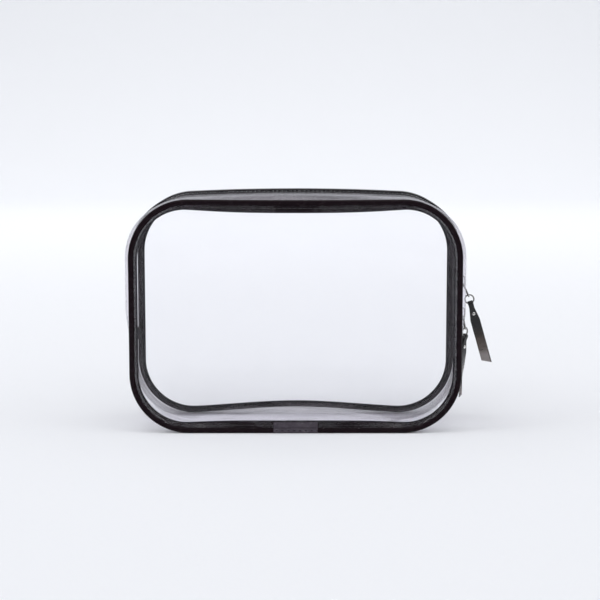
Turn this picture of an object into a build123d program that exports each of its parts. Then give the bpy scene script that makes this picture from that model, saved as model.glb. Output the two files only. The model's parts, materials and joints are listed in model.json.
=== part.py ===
from build123d import *

import os
from math import cos, radians, sin

# Clear vinyl makeup bag with black piping, a two-slider coil zip and strap pulls.
#
# Millimetres. +X runs along the bag to the side that carries the sliders, -Y is the front and +Z is
# up. The origin is the middle of the underside of the base.
#
# The bag is two flat clear panels joined by a gusset that runs round their edges. Every long piece
# follows the same outline, so each is a band between two copies of that outline, at a stated distance
# from the bag's middle plane. "Inset" is measured inwards from the outline, "rise" outwards from it.

# Whole bag
bag_width = 210.0
bag_height = 148.0
bag_depth = 70.0
corner_radius = 37.5

# Clear vinyl sheet, and the seam that joins panel, piping and gusset
sheet = 0.4
seam_width = 3.9
seam_clearance = 0.4
binding_tape = 0.6

# Piping: a round bead over a cord, with a flat flange that is sewn into the seam
bead_diameter = 3.6
piping_cord_diameter = 2.3
piping_cord_clearance = 0.1
flange_thickness = 0.6
joint_length = 28.0
joint_wall = 0.45
joint_clearance = 0.02

# Zip: tapes, coils, and how far below the lower slider the zip panel is sewn to the base gusset
zip_below_slider = 16.8
zip_seam_gap = 0.2
zip_rise_side = 0.2
zip_rise_top = 3.2
tape_width = 13.2
tape_thickness = 0.6
tape_overlap = 4.5
coil_width = 2.2
coil_height = 1.9
chain_half_gap = 0.8
end_tab_height = 8.0
end_tab_thickness = 0.5
end_tab_side_clearance = 0.2

# Mouth: the front folds outwards about a line across the panel at the top of the straight sides
mouth_gap = 0.3

# Sliders
slider_length = 11.0
slider_head_width = 9.4
slider_tail_width = 7.6
slider_plate = 1.0
slider_clearance = 0.3
slider_flange = 1.0
slider_neck_length = 3.0
slider_corner = 1.2
upper_slider_drop = 17.0
slider_spacing = 20.7
bridge_length = 7.0
bridge_width = 1.8
bridge_wall = 0.8
bridge_window = 1.2

# Pulls: a wire link on the slider's bridge, a ring on the link, and a strap folded round the ring
wire_diameter = 0.9
wire_clearance = 0.06
link_length = 8.8
link_inner_width = 3.8
link_corner = 1.2
ring_radius = 2.9
strap_length = 41.0
strap_width = 6.2
strap_ply = 0.8
strap_neck_width = 2.6
strap_neck_length = 4.0
strap_shoulder = 12.0
strap_slant = 3.0
strap_second_ply = 23.0
strap_fold_radius = 1.1
rivet_place = 7.0
rivet_radius = 0.6
rivet_head_radius = 1.15
rivet_head = 0.5
rivet_clearance = 0.05

# Rest angles of the pulls, in degrees from hanging straight down, outwards positive
upper_link_lean = 24.0
upper_strap_lean = 16.0
upper_strap_turn = 0.0
lower_link_lean = 10.0
lower_strap_lean = -4.0
lower_strap_turn = 50.0

# Distances from the middle plane, from the outside in
bead_middle = bag_depth / 2 - bead_diameter / 2
flange_outside = bead_middle + 1.5 * flange_thickness
flange_inside = flange_outside - flange_thickness
panel_outside = flange_outside + sheet
hem_inside = flange_inside - sheet
binding_inside = hem_inside - binding_tape
gusset_edge = bead_middle - bead_diameter / 2 - seam_clearance / 4
gusset_turn = gusset_edge - sheet
tape_edge = chain_half_gap + tape_width
strip_edge = tape_edge - tape_overlap

# Insets from the outline
seam_line = bead_diameter + seam_clearance
web_inset = seam_line + sheet
raw_edge = bead_diameter + seam_width
binding_inset = raw_edge + sheet

# Heights
fold_height = bag_height - corner_radius
upper_slider_height = fold_height - upper_slider_drop
lower_slider_height = upper_slider_height - slider_spacing
zip_seam_height = lower_slider_height - zip_below_slider
zip_start = zip_seam_height + zip_seam_gap
above_all = 2 * bag_height
lower_part = (zip_start, fold_height - mouth_gap / 2)
upper_part = (fold_height + mouth_gap / 2, above_all)
whole_zip = (zip_start, above_all)
whole_front = (-bag_height, above_all)
below_fold = (-bag_height, fold_height - mouth_gap / 2)

FRONT = -1
BACK = 1
LEFT = -1
RIGHT = 1


def even(rise):
    """The same rise at the sides and at the top."""
    return (rise, rise)


def along_zip(rise):
    """A rise measured from the outside of the zip tape, which arches over the top of the bag."""
    return (zip_rise_side + rise, zip_rise_top + rise)


def depth_plane(depth):
    """The upright plane at one depth, facing the front."""
    return Plane.XZ.offset(-depth)


def outline(rise, mode=Mode.ADD):
    """Sketch the bag's front view, grown by rise[0] at its sides and base and rise[1] at its top."""
    side, top = rise
    with Locations((0, (bag_height + top - side) / 2)):
        RectangleRounded(bag_width + 2 * side, bag_height + side + top, corner_radius + top, mode=mode)


def band(inner, outer, face, low, high):
    """Add the band between two outlines, between two distances from the middle plane."""
    with BuildSketch(depth_plane(max(face * low, face * high))) as ring:
        outline(outer)
        outline(inner, mode=Mode.SUBTRACT)
    extrude(ring.sketch, amount=high - low)


def bead(face, radius, mode=Mode.ADD):
    """Add a round bead that runs once round the bag."""
    inset = bead_diameter / 2
    x = bag_width / 2 - inset
    top = bag_height - inset
    with BuildLine(depth_plane(face * bead_middle)) as path:
        FilletPolyline((-x, inset), (x, inset), (x, top), (-x, top), radius=corner_radius - inset, close=True)
    line = path.wire()
    with BuildSketch(Plane(origin=line @ 0, z_dir=line % 0)) as section:
        Circle(radius)
    sweep(section.sketch, path=line, mode=mode)


def keep_heights(heights):
    """Cut away everything outside two heights."""
    low, high = heights
    with Locations((0, 0, (low + high) / 2)):
        Box(2 * bag_width, 2 * bag_depth, high - low, mode=Mode.INTERSECT)


def keep_side(side):
    """Cut away the other side of the bag."""
    with Locations((side * bag_width, 0, 0)):
        Box(2 * bag_width, 2 * bag_depth, 2 * above_all, mode=Mode.INTERSECT)


def seam_hem(face):
    """Add the edge of a gusset piece: it steps in behind the bead and lies flat in the seam."""
    band(even(-web_inset), even(0), face, gusset_turn, gusset_edge)
    band(even(-web_inset), even(-seam_line), face, gusset_edge, flange_inside)
    band(even(-raw_edge), even(-seam_line), face, hem_inside, flange_inside)


def make_panel(face, heights):
    """Clear front or back panel, which lies inside the bead on the piping's flange."""
    with BuildPart() as panel:
        with BuildSketch(depth_plane(max(face * flange_outside, face * panel_outside))):
            outline(even(-bead_diameter))
        extrude(amount=sheet)
        keep_heights(heights)
    return panel


def make_piping(face, heights):
    """Vinyl piping: a hollow bead with its sewn flange."""
    with BuildPart() as piping:
        bead(face, bead_diameter / 2)
        band(even(-raw_edge), even(-bead_diameter / 2), face, flange_inside, flange_outside)
        bead(face, piping_cord_diameter / 2 + piping_cord_clearance, mode=Mode.SUBTRACT)
        keep_heights(heights)
    return piping


def make_piping_cord(face, heights):
    """Cord that fills the piping's bead."""
    with BuildPart() as cord:
        bead(face, piping_cord_diameter / 2)
        keep_heights(heights)
    return cord


def make_piping_joint(face):
    """Patch that covers the two ends of the piping, at the middle of the base."""
    bead_centre = (face * bead_middle, bead_diameter / 2)
    patch_outside = panel_outside + joint_wall
    with BuildPart() as joint:
        with BuildSketch(Plane.YZ):
            with Locations(bead_centre):
                Circle(bead_diameter / 2 + joint_wall)
            with Locations((face * (flange_outside + bead_diameter / 2), bead_diameter / 2)):
                Rectangle(bead_diameter, bead_diameter, mode=Mode.INTERSECT)
            with Locations((face * (panel_outside + patch_outside) / 2, (bead_diameter + raw_edge) / 2)):
                Rectangle(joint_wall, raw_edge - bead_diameter + joint_wall)
            with Locations(bead_centre):
                Circle(bead_diameter / 2 + joint_clearance, mode=Mode.SUBTRACT)
        extrude(amount=joint_length / 2, both=True)
    return joint


def make_seam_binding(face, heights):
    """Tape folded round the raw edges of the seam, inside the bag."""
    with BuildPart() as binding:
        band(even(-binding_inset), even(-web_inset), face, binding_inside, hem_inside)
        band(even(-binding_inset), even(-raw_edge), face, hem_inside, flange_outside)
        keep_heights(heights)
    return binding


def make_base_gusset():
    """Clear strip round the base, the lower corners and the lower sides."""
    with BuildPart() as gusset:
        band(even(-sheet), even(0), BACK, -gusset_turn, gusset_turn)
        seam_hem(FRONT)
        seam_hem(BACK)
        keep_heights((-bag_height, zip_seam_height))
    return gusset


def zip_slope(face, rise, mode):
    """Add or cut the block whose skin slopes from the seam's outline to the edge of the zip tape."""
    with BuildSketch(depth_plane(face * gusset_turn)) as seam_end:
        outline(even(rise - sheet))
    with BuildSketch(depth_plane(face * tape_edge)) as zip_end:
        outline(along_zip(rise))
    loft((seam_end.sketch, zip_end.sketch), ruled=True, mode=mode)


def make_zip_strip(face, heights, side=None):
    """Clear strip between the panel's seam and the zip tape, which it laps over."""
    with BuildPart() as strip:
        zip_slope(face, sheet, Mode.ADD)
        zip_slope(face, 0, Mode.SUBTRACT)
        band(along_zip(0), along_zip(sheet), face, strip_edge, tape_edge)
        seam_hem(face)
        keep_heights(heights)
        if side:
            keep_side(side)
    return strip


def make_zip_tape(face, heights, side=None):
    """Woven zip tape."""
    with BuildPart() as tape:
        band(along_zip(-tape_thickness), along_zip(0), face, chain_half_gap, tape_edge)
        keep_heights(heights)
        if side:
            keep_side(side)
    return tape


def make_zip_coil(face, heights, side=None):
    """Nylon coil sewn along the tape's edge, as its outer shape."""
    with BuildPart() as coil:
        band(along_zip(0), along_zip(coil_height), face, chain_half_gap, chain_half_gap + coil_width)
        keep_heights(heights)
        if side:
            keep_side(side)
    return coil


def make_end_tab(side):
    """Binding over the seam where the zip panel meets the base gusset, inside the bag."""
    inside = bag_width / 2 + zip_rise_side - tape_thickness - end_tab_thickness / 2
    with BuildPart() as tab:
        with Locations((side * inside, 0, zip_seam_height)):
            Box(end_tab_thickness, 2 * (gusset_turn - end_tab_side_clearance), end_tab_height)
    return tab


# Slider surfaces, as rises from the bag's side
slider_top_inside = zip_rise_side + coil_height + slider_clearance
slider_top_outside = slider_top_inside + slider_plate
slider_base_inside = zip_rise_side - tape_thickness - slider_clearance
bridge_inside = slider_top_outside + bridge_window
bridge_outside = bridge_inside + bridge_wall
link_pivot_x = bag_width / 2 + (slider_top_outside + bridge_inside) / 2
link_pivot_drop = bridge_length / 2 - bridge_wall - wire_diameter / 2 - slider_clearance


def slider_plate_sketch(head):
    """Sketch a slider plate on a plane that looks along X: wide at the head and narrow at the tail."""
    half = slider_length / 2
    Polygon(
        (-slider_head_width / 2, head * half),
        (slider_head_width / 2, head * half),
        (slider_head_width / 2, 0),
        (slider_tail_width / 2, -head * half),
        (-slider_tail_width / 2, -head * half),
        (-slider_head_width / 2, 0),
        align=None,
    )


def slider_layer(height, head, low, high):
    """Add a slider plate between two rises from the bag's side."""
    with BuildSketch(Plane(origin=(bag_width / 2 + low, 0, height), x_dir=(0, 1, 0), z_dir=(1, 0, 0))) as plate:
        slider_plate_sketch(head)
        fillet(plate.vertices(), slider_corner)
    extrude(plate.sketch, amount=high - low)


def make_slider(height, head):
    """Zip slider: two plates joined by a neck at the head, side flanges, and a bridge for the link."""
    side = bag_width / 2
    flange_low = zip_rise_side + slider_clearance
    channel_width = 2 * (chain_half_gap + coil_width + slider_clearance)
    neck_width = 2 * (chain_half_gap - slider_clearance)
    neck_height = slider_top_inside - slider_base_inside
    with BuildPart() as slider:
        slider_layer(height, head, flange_low, slider_top_outside)
        with Locations((side + (flange_low + slider_top_inside) / 2, 0, height)):
            Box(slider_top_inside - flange_low, channel_width, 2 * slider_length, mode=Mode.SUBTRACT)
        slider_layer(height, head, slider_base_inside - slider_plate, slider_base_inside)
        neck_middle = height + head * (slider_length - slider_neck_length) / 2
        with Locations((side + (slider_top_inside + slider_base_inside) / 2, 0, neck_middle)):
            Box(neck_height, neck_width, slider_neck_length)
        with BuildSketch(Plane.XZ.offset(-bridge_width / 2)):
            with Locations((side + (slider_top_outside + bridge_outside) / 2, height)):
                Rectangle(bridge_outside - slider_top_outside, bridge_length)
            with Locations((side + (slider_top_outside + bridge_inside) / 2, height)):
                Rectangle(bridge_window, bridge_length - 2 * bridge_wall, mode=Mode.SUBTRACT)
        extrude(amount=bridge_width)
        outer_edges = slider.edges().filter_by(Axis.Y).group_by(Axis.X)[-1]
        fillet(outer_edges, bridge_wall * 0.7)
    return slider


def hanging(lean):
    """Direction of a piece that hangs with an outward lean, in the plane across the slider."""
    return Vector(sin(radians(lean)), 0, -cos(radians(lean)))


def link_pivot(height):
    """Middle of the wire that passes under the slider's bridge."""
    return Vector(link_pivot_x, 0, height - link_pivot_drop)


def link_end(height, lean):
    """Middle of the link's lower bar."""
    return link_pivot(height) + hanging(lean) * link_length


def make_link(height, lean):
    """Wire link: a closed loop with one bar under the bridge and one that holds the ring."""
    half = (link_inner_width + wire_diameter) / 2
    loop_plane = Plane(origin=link_pivot(height), x_dir=(0, 1, 0), z_dir=hanging(lean).cross(Vector(0, 1, 0)))
    direction = 1 if loop_plane.y_dir.dot(hanging(lean)) > 0 else -1
    end = direction * link_length
    with BuildPart() as link:
        with BuildLine(loop_plane) as loop:
            FilletPolyline((-half, 0), (half, 0), (half, end), (-half, end), radius=link_corner, close=True)
        line = loop.wire()
        with BuildSketch(Plane(origin=line @ 0, z_dir=line % 0)):
            Circle(wire_diameter / 2)
        sweep(path=line)
    return link


def pull_plane(height, link_lean, lean, turn):
    """Plane of the ring, at its middle: Y points down the strap, X across it, Z out of the ring's face."""
    hang = hanging(lean)
    across = Vector(cos(radians(turn)), sin(radians(turn)), 0)
    face = across.cross(hang).normalized()
    drop = ring_radius - wire_diameter - wire_clearance
    centre = link_end(height, link_lean) + hang * drop
    return Plane(origin=centre, x_dir=hang.cross(face), z_dir=face)


def make_ring(plane):
    """Round wire ring."""
    with BuildPart(plane) as ring:
        Torus(ring_radius, wire_diameter / 2)
    return ring


def make_strap(plane):
    """Strap: its narrow end folds round the ring and comes back as a shorter second ply."""
    fold = plane.offset(0)
    fold.origin = plane.origin + plane.y_dir * ring_radius
    neck = strap_neck_width / 2
    half = strap_width / 2
    start = strap_fold_radius
    with BuildPart() as strap:
        with BuildSketch(fold.offset(-strap_ply)):
            Polygon(
                (-neck, start),
                (neck, start),
                (neck, strap_neck_length),
                (half, strap_shoulder),
                (half, strap_length),
                (-half, strap_length - strap_slant),
                (-half, strap_shoulder),
                (-neck, strap_neck_length),
                align=None,
            )
        extrude(amount=strap_ply)
        with BuildSketch(fold) as second_ply:
            Polygon(
                (-neck, start),
                (neck, start),
                (neck, strap_neck_length),
                (half, strap_shoulder),
                (half, strap_second_ply),
                (-half, strap_second_ply),
                (-half, strap_shoulder),
                (-neck, strap_neck_length),
                align=None,
            )
            fillet(second_ply.vertices().group_by(Axis.Y)[-1], half * 0.8)
        extrude(amount=strap_ply)
        with BuildSketch(Plane(origin=fold.origin, x_dir=fold.y_dir, z_dir=fold.x_dir)):
            Circle(strap_fold_radius + strap_ply)
        extrude(amount=neck, both=True)
        with BuildSketch(Plane(origin=fold.origin, x_dir=fold.y_dir, z_dir=fold.x_dir)):
            Circle(strap_fold_radius)
        extrude(amount=neck, both=True, mode=Mode.SUBTRACT)
        with BuildSketch(rivet_plane(plane)):
            Circle(rivet_radius + rivet_clearance)
        extrude(amount=2 * strap_ply, both=True, mode=Mode.SUBTRACT)
    return strap


def rivet_plane(plane):
    """Plane between the strap's two plies, at the rivet."""
    place = plane.offset(0)
    place.origin = plane.origin + plane.y_dir * (ring_radius + rivet_place)
    return place


def make_rivet(plane):
    """Rivet through both plies of the strap, with a head on each side."""
    middle = rivet_plane(plane)
    with BuildPart() as rivet:
        with BuildSketch(middle):
            Circle(rivet_radius)
        extrude(amount=strap_ply + rivet_head / 2, both=True)
        for face in (middle.offset(strap_ply), middle.offset(-strap_ply - rivet_head)):
            with BuildSketch(face):
                Circle(rivet_head_radius)
            extrude(amount=rivet_head)
    return rivet


pieces = {
    "front_panel_lower": make_panel(FRONT, below_fold),
    "front_panel_upper": make_panel(FRONT, upper_part),
    "back_panel": make_panel(BACK, whole_front),
    "base_gusset": make_base_gusset(),
    "zip_strip_front_left": make_zip_strip(FRONT, lower_part, LEFT),
    "zip_strip_front_right": make_zip_strip(FRONT, lower_part, RIGHT),
    "zip_strip_front_top": make_zip_strip(FRONT, upper_part),
    "zip_strip_back": make_zip_strip(BACK, whole_zip),
    "zip_tape_front_left": make_zip_tape(FRONT, lower_part, LEFT),
    "zip_tape_front_right": make_zip_tape(FRONT, lower_part, RIGHT),
    "zip_tape_front_top": make_zip_tape(FRONT, upper_part),
    "zip_tape_back": make_zip_tape(BACK, whole_zip),
    "zip_coil_front_left": make_zip_coil(FRONT, lower_part, LEFT),
    "zip_coil_front_right": make_zip_coil(FRONT, lower_part, RIGHT),
    "zip_coil_front_top": make_zip_coil(FRONT, upper_part),
    "zip_coil_back": make_zip_coil(BACK, whole_zip),
    "zip_end_tab_left": make_end_tab(LEFT),
    "zip_end_tab_right": make_end_tab(RIGHT),
    "front_piping_lower": make_piping(FRONT, below_fold),
    "front_piping_upper": make_piping(FRONT, upper_part),
    "back_piping": make_piping(BACK, whole_front),
    "front_piping_cord_lower": make_piping_cord(FRONT, below_fold),
    "front_piping_cord_upper": make_piping_cord(FRONT, upper_part),
    "back_piping_cord": make_piping_cord(BACK, whole_front),
    "front_piping_joint": make_piping_joint(FRONT),
    "back_piping_joint": make_piping_joint(BACK),
    "front_seam_binding_lower": make_seam_binding(FRONT, below_fold),
    "front_seam_binding_upper": make_seam_binding(FRONT, upper_part),
    "back_seam_binding": make_seam_binding(BACK, whole_front),
}

# The sliders meet head to head, so the upper one has its head downwards
pulls = (
    ("upper", upper_slider_height, -1, upper_link_lean, upper_strap_lean, upper_strap_turn),
    ("lower", lower_slider_height, 1, lower_link_lean, lower_strap_lean, lower_strap_turn),
)
for name, height, head, link_lean, strap_lean, turn in pulls:
    plane = pull_plane(height, link_lean, strap_lean, turn)
    pieces[f"{name}_slider"] = make_slider(height, head)
    pieces[f"{name}_puller_link"] = make_link(height, link_lean)
    pieces[f"{name}_pull_ring"] = make_ring(plane)
    pieces[f"{name}_pull_strap"] = make_strap(plane)
    pieces[f"{name}_pull_rivet"] = make_rivet(plane)

os.makedirs("parts", exist_ok=True)
for name, piece in pieces.items():
    piece.part.label = name
    export_step(piece.part, f"parts/{name}.step")
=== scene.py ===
"""Looks for the clear makeup bag: soft vinyl, piping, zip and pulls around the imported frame."""

import json
import logging
import math
from dataclasses import dataclass
from enum import Enum

import bpy
import numpy as np
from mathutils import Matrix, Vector


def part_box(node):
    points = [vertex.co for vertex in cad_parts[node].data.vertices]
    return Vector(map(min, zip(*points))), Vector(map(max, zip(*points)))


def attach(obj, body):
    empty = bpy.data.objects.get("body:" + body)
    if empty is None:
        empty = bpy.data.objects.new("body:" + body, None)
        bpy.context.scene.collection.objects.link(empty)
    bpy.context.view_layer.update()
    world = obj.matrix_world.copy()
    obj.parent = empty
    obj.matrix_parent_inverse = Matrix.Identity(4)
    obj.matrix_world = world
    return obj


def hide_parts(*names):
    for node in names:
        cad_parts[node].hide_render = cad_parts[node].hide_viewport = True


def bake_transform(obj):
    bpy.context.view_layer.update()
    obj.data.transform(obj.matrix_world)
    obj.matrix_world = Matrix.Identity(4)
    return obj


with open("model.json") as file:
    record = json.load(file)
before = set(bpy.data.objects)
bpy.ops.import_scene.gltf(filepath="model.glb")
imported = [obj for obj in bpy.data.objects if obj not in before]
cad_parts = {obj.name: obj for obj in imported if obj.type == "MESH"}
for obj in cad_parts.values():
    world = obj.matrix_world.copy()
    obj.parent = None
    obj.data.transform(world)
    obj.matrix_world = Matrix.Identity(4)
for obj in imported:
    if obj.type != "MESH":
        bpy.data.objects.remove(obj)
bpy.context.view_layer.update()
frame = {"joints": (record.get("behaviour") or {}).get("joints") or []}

MM = 0.001
TAU = 2 * math.pi
TINY = 1e-12
CORNER_SOFTENING = 1e-9
AXIS_X, AXIS_Y, AXIS_Z = np.eye(3)
log = logging.getLogger("makeup_bag")

Array = np.ndarray
Color = tuple[float, float, float]
Place = tuple[float, float, float]


class Face(Enum):
    """Which large side of the bag a piece belongs to, with the sign of its depth."""

    FRONT = -1
    BACK = 1


class Body(Enum):
    """The moving bodies that the soft pieces ride on."""

    BAG = "bag"
    FLAP = "front_flap"


class Slot(Enum):
    """Material slots of the record."""

    CLEAR_VINYL = "clear_vinyl"
    BLACK_VINYL = "black_vinyl"
    BINDING_TAPE = "binding_tape"
    ZIP_TAPE = "zip_tape"
    ZIP_COIL = "zip_coil"
    PIPING_CORD = "piping_cord"
    SLIDER_METAL = "slider_metal"
    WIRE_METAL = "wire_metal"
    STRAP_VINYL = "strap_vinyl"
    RIVET_METAL = "rivet_metal"


def smoothstep(low: float, high: float, value: Array) -> Array:
    """Ease from 0 at low to 1 at high.

    Args:
        low: Value at which the step starts.
        high: Value at which it ends; it may lie below low, which turns the step round.
        value: Values to ease.

    Returns:
        t squared times (3 - 2t), where t is how far value lies from low to high, kept from 0 to 1.
    """
    t = np.clip((value - low) / (high - low), 0.0, 1.0)
    return t * t * (3.0 - 2.0 * t)


def joint(name: str) -> dict:
    """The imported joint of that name."""
    return next(j for j in frame["joints"] if j["name"] == name)


# ---- Meshes ----


@dataclass
class Surface:
    """A grid of points that becomes a mesh.

    Attributes:
        points: Points, rows by columns by 3, in metres.
        along: Distance along the rows in metres, one more than the rows when they wrap.
        across: Distance along the columns in metres, one more than the columns when they wrap.
        wrap_rows: Whether the last row joins the first.
        wrap_columns: Whether the last column joins the first.
        capped: Whether open ends of a wrapped section are closed with one face each.
    """

    points: Array
    along: Array
    across: Array
    wrap_rows: bool = False
    wrap_columns: bool = False
    capped: bool = False

    def quads(self) -> tuple[Array, Array]:
        """Faces of the grid and their texture corners.

        Returns:
            Faces as rows of four point numbers, and the (along, across) place of each corner.
        """
        rows, columns = self.points.shape[:2]
        i, j = np.meshgrid(
            np.arange(rows if self.wrap_rows else rows - 1),
            np.arange(columns if self.wrap_columns else columns - 1),
            indexing="ij",
        )
        i, j = i.ravel(), j.ravel()
        corner_rows = np.stack([i, i + 1, i + 1, i], axis=1)
        corner_columns = np.stack([j, j, j + 1, j + 1], axis=1)
        faces = (corner_rows % rows) * columns + corner_columns % columns
        uv = np.stack([self.along[corner_rows], self.across[corner_columns]], axis=-1)
        return faces, uv

    def groups(self) -> list[tuple[Array, Array]]:
        """The quads, and the two end faces if the section is capped.

        Returns:
            Pairs of faces and texture corners. An end face is mapped to a disc of 1 mm.
        """
        out = [self.quads()]
        if self.capped:
            rows, columns = self.points.shape[:2]
            first = np.arange(columns)[::-1][None]
            last = (rows - 1) * columns + np.arange(columns)[None]
            angle = TAU * np.arange(columns) / columns
            disc = MM * np.stack([np.cos(angle), np.sin(angle)], axis=-1)[None]
            out += [(first, disc), (last, disc)]
        return out


def signed_volume(points: Array, faces: list[Array]) -> float:
    """Volume that the faces enclose, positive when they point outwards.

    Args:
        points: Points by 3.
        faces: Arrays of faces, each with its own number of corners.

    Returns:
        A sixth of the sum, over a fan of triangles, of the first corner times the cross product.
    """
    total = 0.0
    for group in faces:
        a = points[group[:, :1]]
        b = points[group[:, 1:-1]]
        c = points[group[:, 2:]]
        total += float((a * np.cross(b, c)).sum()) / 6.0
    return total


def make_object(name: str, surfaces: list[Surface]) -> bpy.types.Object:
    """Put surfaces into one mesh object at the origin, with faces outwards and a texture map in metres.

    Args:
        name: Name of the object.
        surfaces: Surfaces to join; each is closed by itself.

    Returns:
        The new object.
    """
    points: list[Array] = []
    faces: list[Array] = []
    corners: list[Array] = []
    start = 0
    for surface in surfaces:
        own = surface.points.reshape(-1, 3)
        groups = surface.groups()
        if signed_volume(own, [g for g, _ in groups]) < 0.0:
            groups = [(g[:, ::-1], uv[:, ::-1]) for g, uv in groups]
        points.append(own)
        faces += [g + start for g, _ in groups]
        corners += [uv.reshape(-1, 2) for _, uv in groups]
        start += len(own)
    sizes = np.concatenate([np.full(len(g), g.shape[1]) for g in faces])
    order = np.concatenate([g.ravel() for g in faces])
    mesh = bpy.data.meshes.new(name)
    mesh.vertices.add(start)
    mesh.vertices.foreach_set("co", np.concatenate(points).astype(np.float32).ravel())
    mesh.loops.add(len(order))
    mesh.loops.foreach_set("vertex_index", order.astype(np.int32))
    mesh.polygons.add(len(sizes))
    mesh.polygons.foreach_set("loop_start", (np.cumsum(sizes) - sizes).astype(np.int32))
    mesh.update(calc_edges=True)
    mesh.polygons.foreach_set("use_smooth", np.ones(len(sizes), dtype=bool))
    uv_map = mesh.uv_layers.new(name="metres")
    uv_map.data.foreach_set("uv", np.concatenate(corners).astype(np.float32).ravel())
    mesh.validate()
    made = bpy.data.objects.new(name, mesh)
    bpy.context.scene.collection.objects.link(made)
    return made


def path_lengths(points: Array, wrap: bool) -> Array:
    """Distance along a line of points, with one more value for the way back when it wraps.

    Args:
        points: Points in a row, by 2 or 3.
        wrap: Whether the last point joins the first.

    Returns:
        Running sum of the distances between neighbours, from 0.
    """
    line = np.vstack([points, points[:1]]) if wrap else points
    steps = np.linalg.norm(np.diff(line, axis=0), axis=1)
    return np.concatenate([[0.0], np.cumsum(steps)])


def even_places(start: float, end: float, step: float) -> Array:
    """Even places from start to end, about step apart."""
    return np.linspace(start, end, max(2, int(round((end - start) / step)) + 1))


# ---- The bag's shape ----


@dataclass(frozen=True)
class Outline:
    """The bag's front outline: a rounded rectangle that stands on z = 0.

    A place on it is a distance in metres from the middle of the base, first towards +X and then up.
    """

    width: float
    height: float
    radius: float

    @classmethod
    def from_frame(cls) -> "Outline":
        """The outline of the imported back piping; the fold lies where its upper corners begin."""
        low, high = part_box("back_piping")
        return cls(high.x - low.x, high.z, high.z - joint("mouth_fold")["pos_m"][2])

    @property
    def stops(self) -> Array:
        """Distances at which straight stretches and corners begin.

        Returns:
            Ten of them, the running sum of the stretches' lengths from the middle of the base.
        """
        half, side = self.width / 2 - self.radius, self.height - 2 * self.radius
        corner = self.radius * math.pi / 2
        return np.cumsum([0, half, corner, side, corner, 2 * half, corner, side, corner, half])

    @property
    def length(self) -> float:
        """The whole way round."""
        return float(self.stops[-1])

    def turn(self, place: Array) -> Array:
        """Angle of the outward normal from +X, which grows steadily round the corners."""
        return np.interp(place, self.stops, np.radians([-90, -90, 0, 0, 90, 90, 180, 180, 270, 270]))

    def point(self, place: Array, rise: Array, depth: Array) -> Array:
        """Points on, inside or outside the outline.

        Args:
            place: Distance along the outline, wrapped at its length.
            rise: Distance outwards from the outline.
            depth: Distance from the middle plane, negative to the front.

        Returns:
            The corner's centre, which slides along the straight stretches, plus radius and rise
            along the normal.
        """
        place, rise, depth = np.broadcast_arrays(np.mod(place, self.length), rise, depth)
        half, low, high = self.width / 2 - self.radius, self.radius, self.height - self.radius
        centre_x = [0, half, half, half, half, -half, -half, -half, -half, 0]
        centre_z = [low, low, low, high, high, high, high, low, low, low]
        across, up = (np.interp(place, self.stops, centre) for centre in (centre_x, centre_z))
        angle = self.turn(place)
        reach = self.radius + rise
        return np.stack([across + reach * np.cos(angle), depth, up + reach * np.sin(angle)], axis=-1)

    def inset(self, x: Array, z: Array) -> tuple[Array, Array, Array]:
        """Distance inwards from the outline, and the outward direction there.

        Args:
            x: Places across the bag.
            z: Heights.

        Returns:
            Inset, and the direction's x and z: away from the nearer corner centre, or straight out
            beside a straight stretch.
        """
        right = np.abs(x) - (self.width / 2 - self.radius)
        up = np.abs(z - self.height / 2) - (self.height / 2 - self.radius)
        out_x, out_z = np.maximum(right, 0.0), np.maximum(up, 0.0)
        size = np.hypot(out_x, out_z) + CORNER_SOFTENING
        inset = self.radius - size - np.minimum(np.maximum(right, up), 0.0)
        return inset, np.sign(x) * out_x / size, np.sign(z - self.height / 2) * out_z / size

    def sideways(self, place: Array) -> Array:
        """How much the outline faces sideways: 1 on the upright sides, 0 on the top and base."""
        return np.abs(np.cos(self.turn(np.mod(place, self.length))))

    def at_height(self, height: float) -> float:
        """Distance from the middle of the base to that height on the right side."""
        return float(self.stops[2] + height - self.radius)


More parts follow.
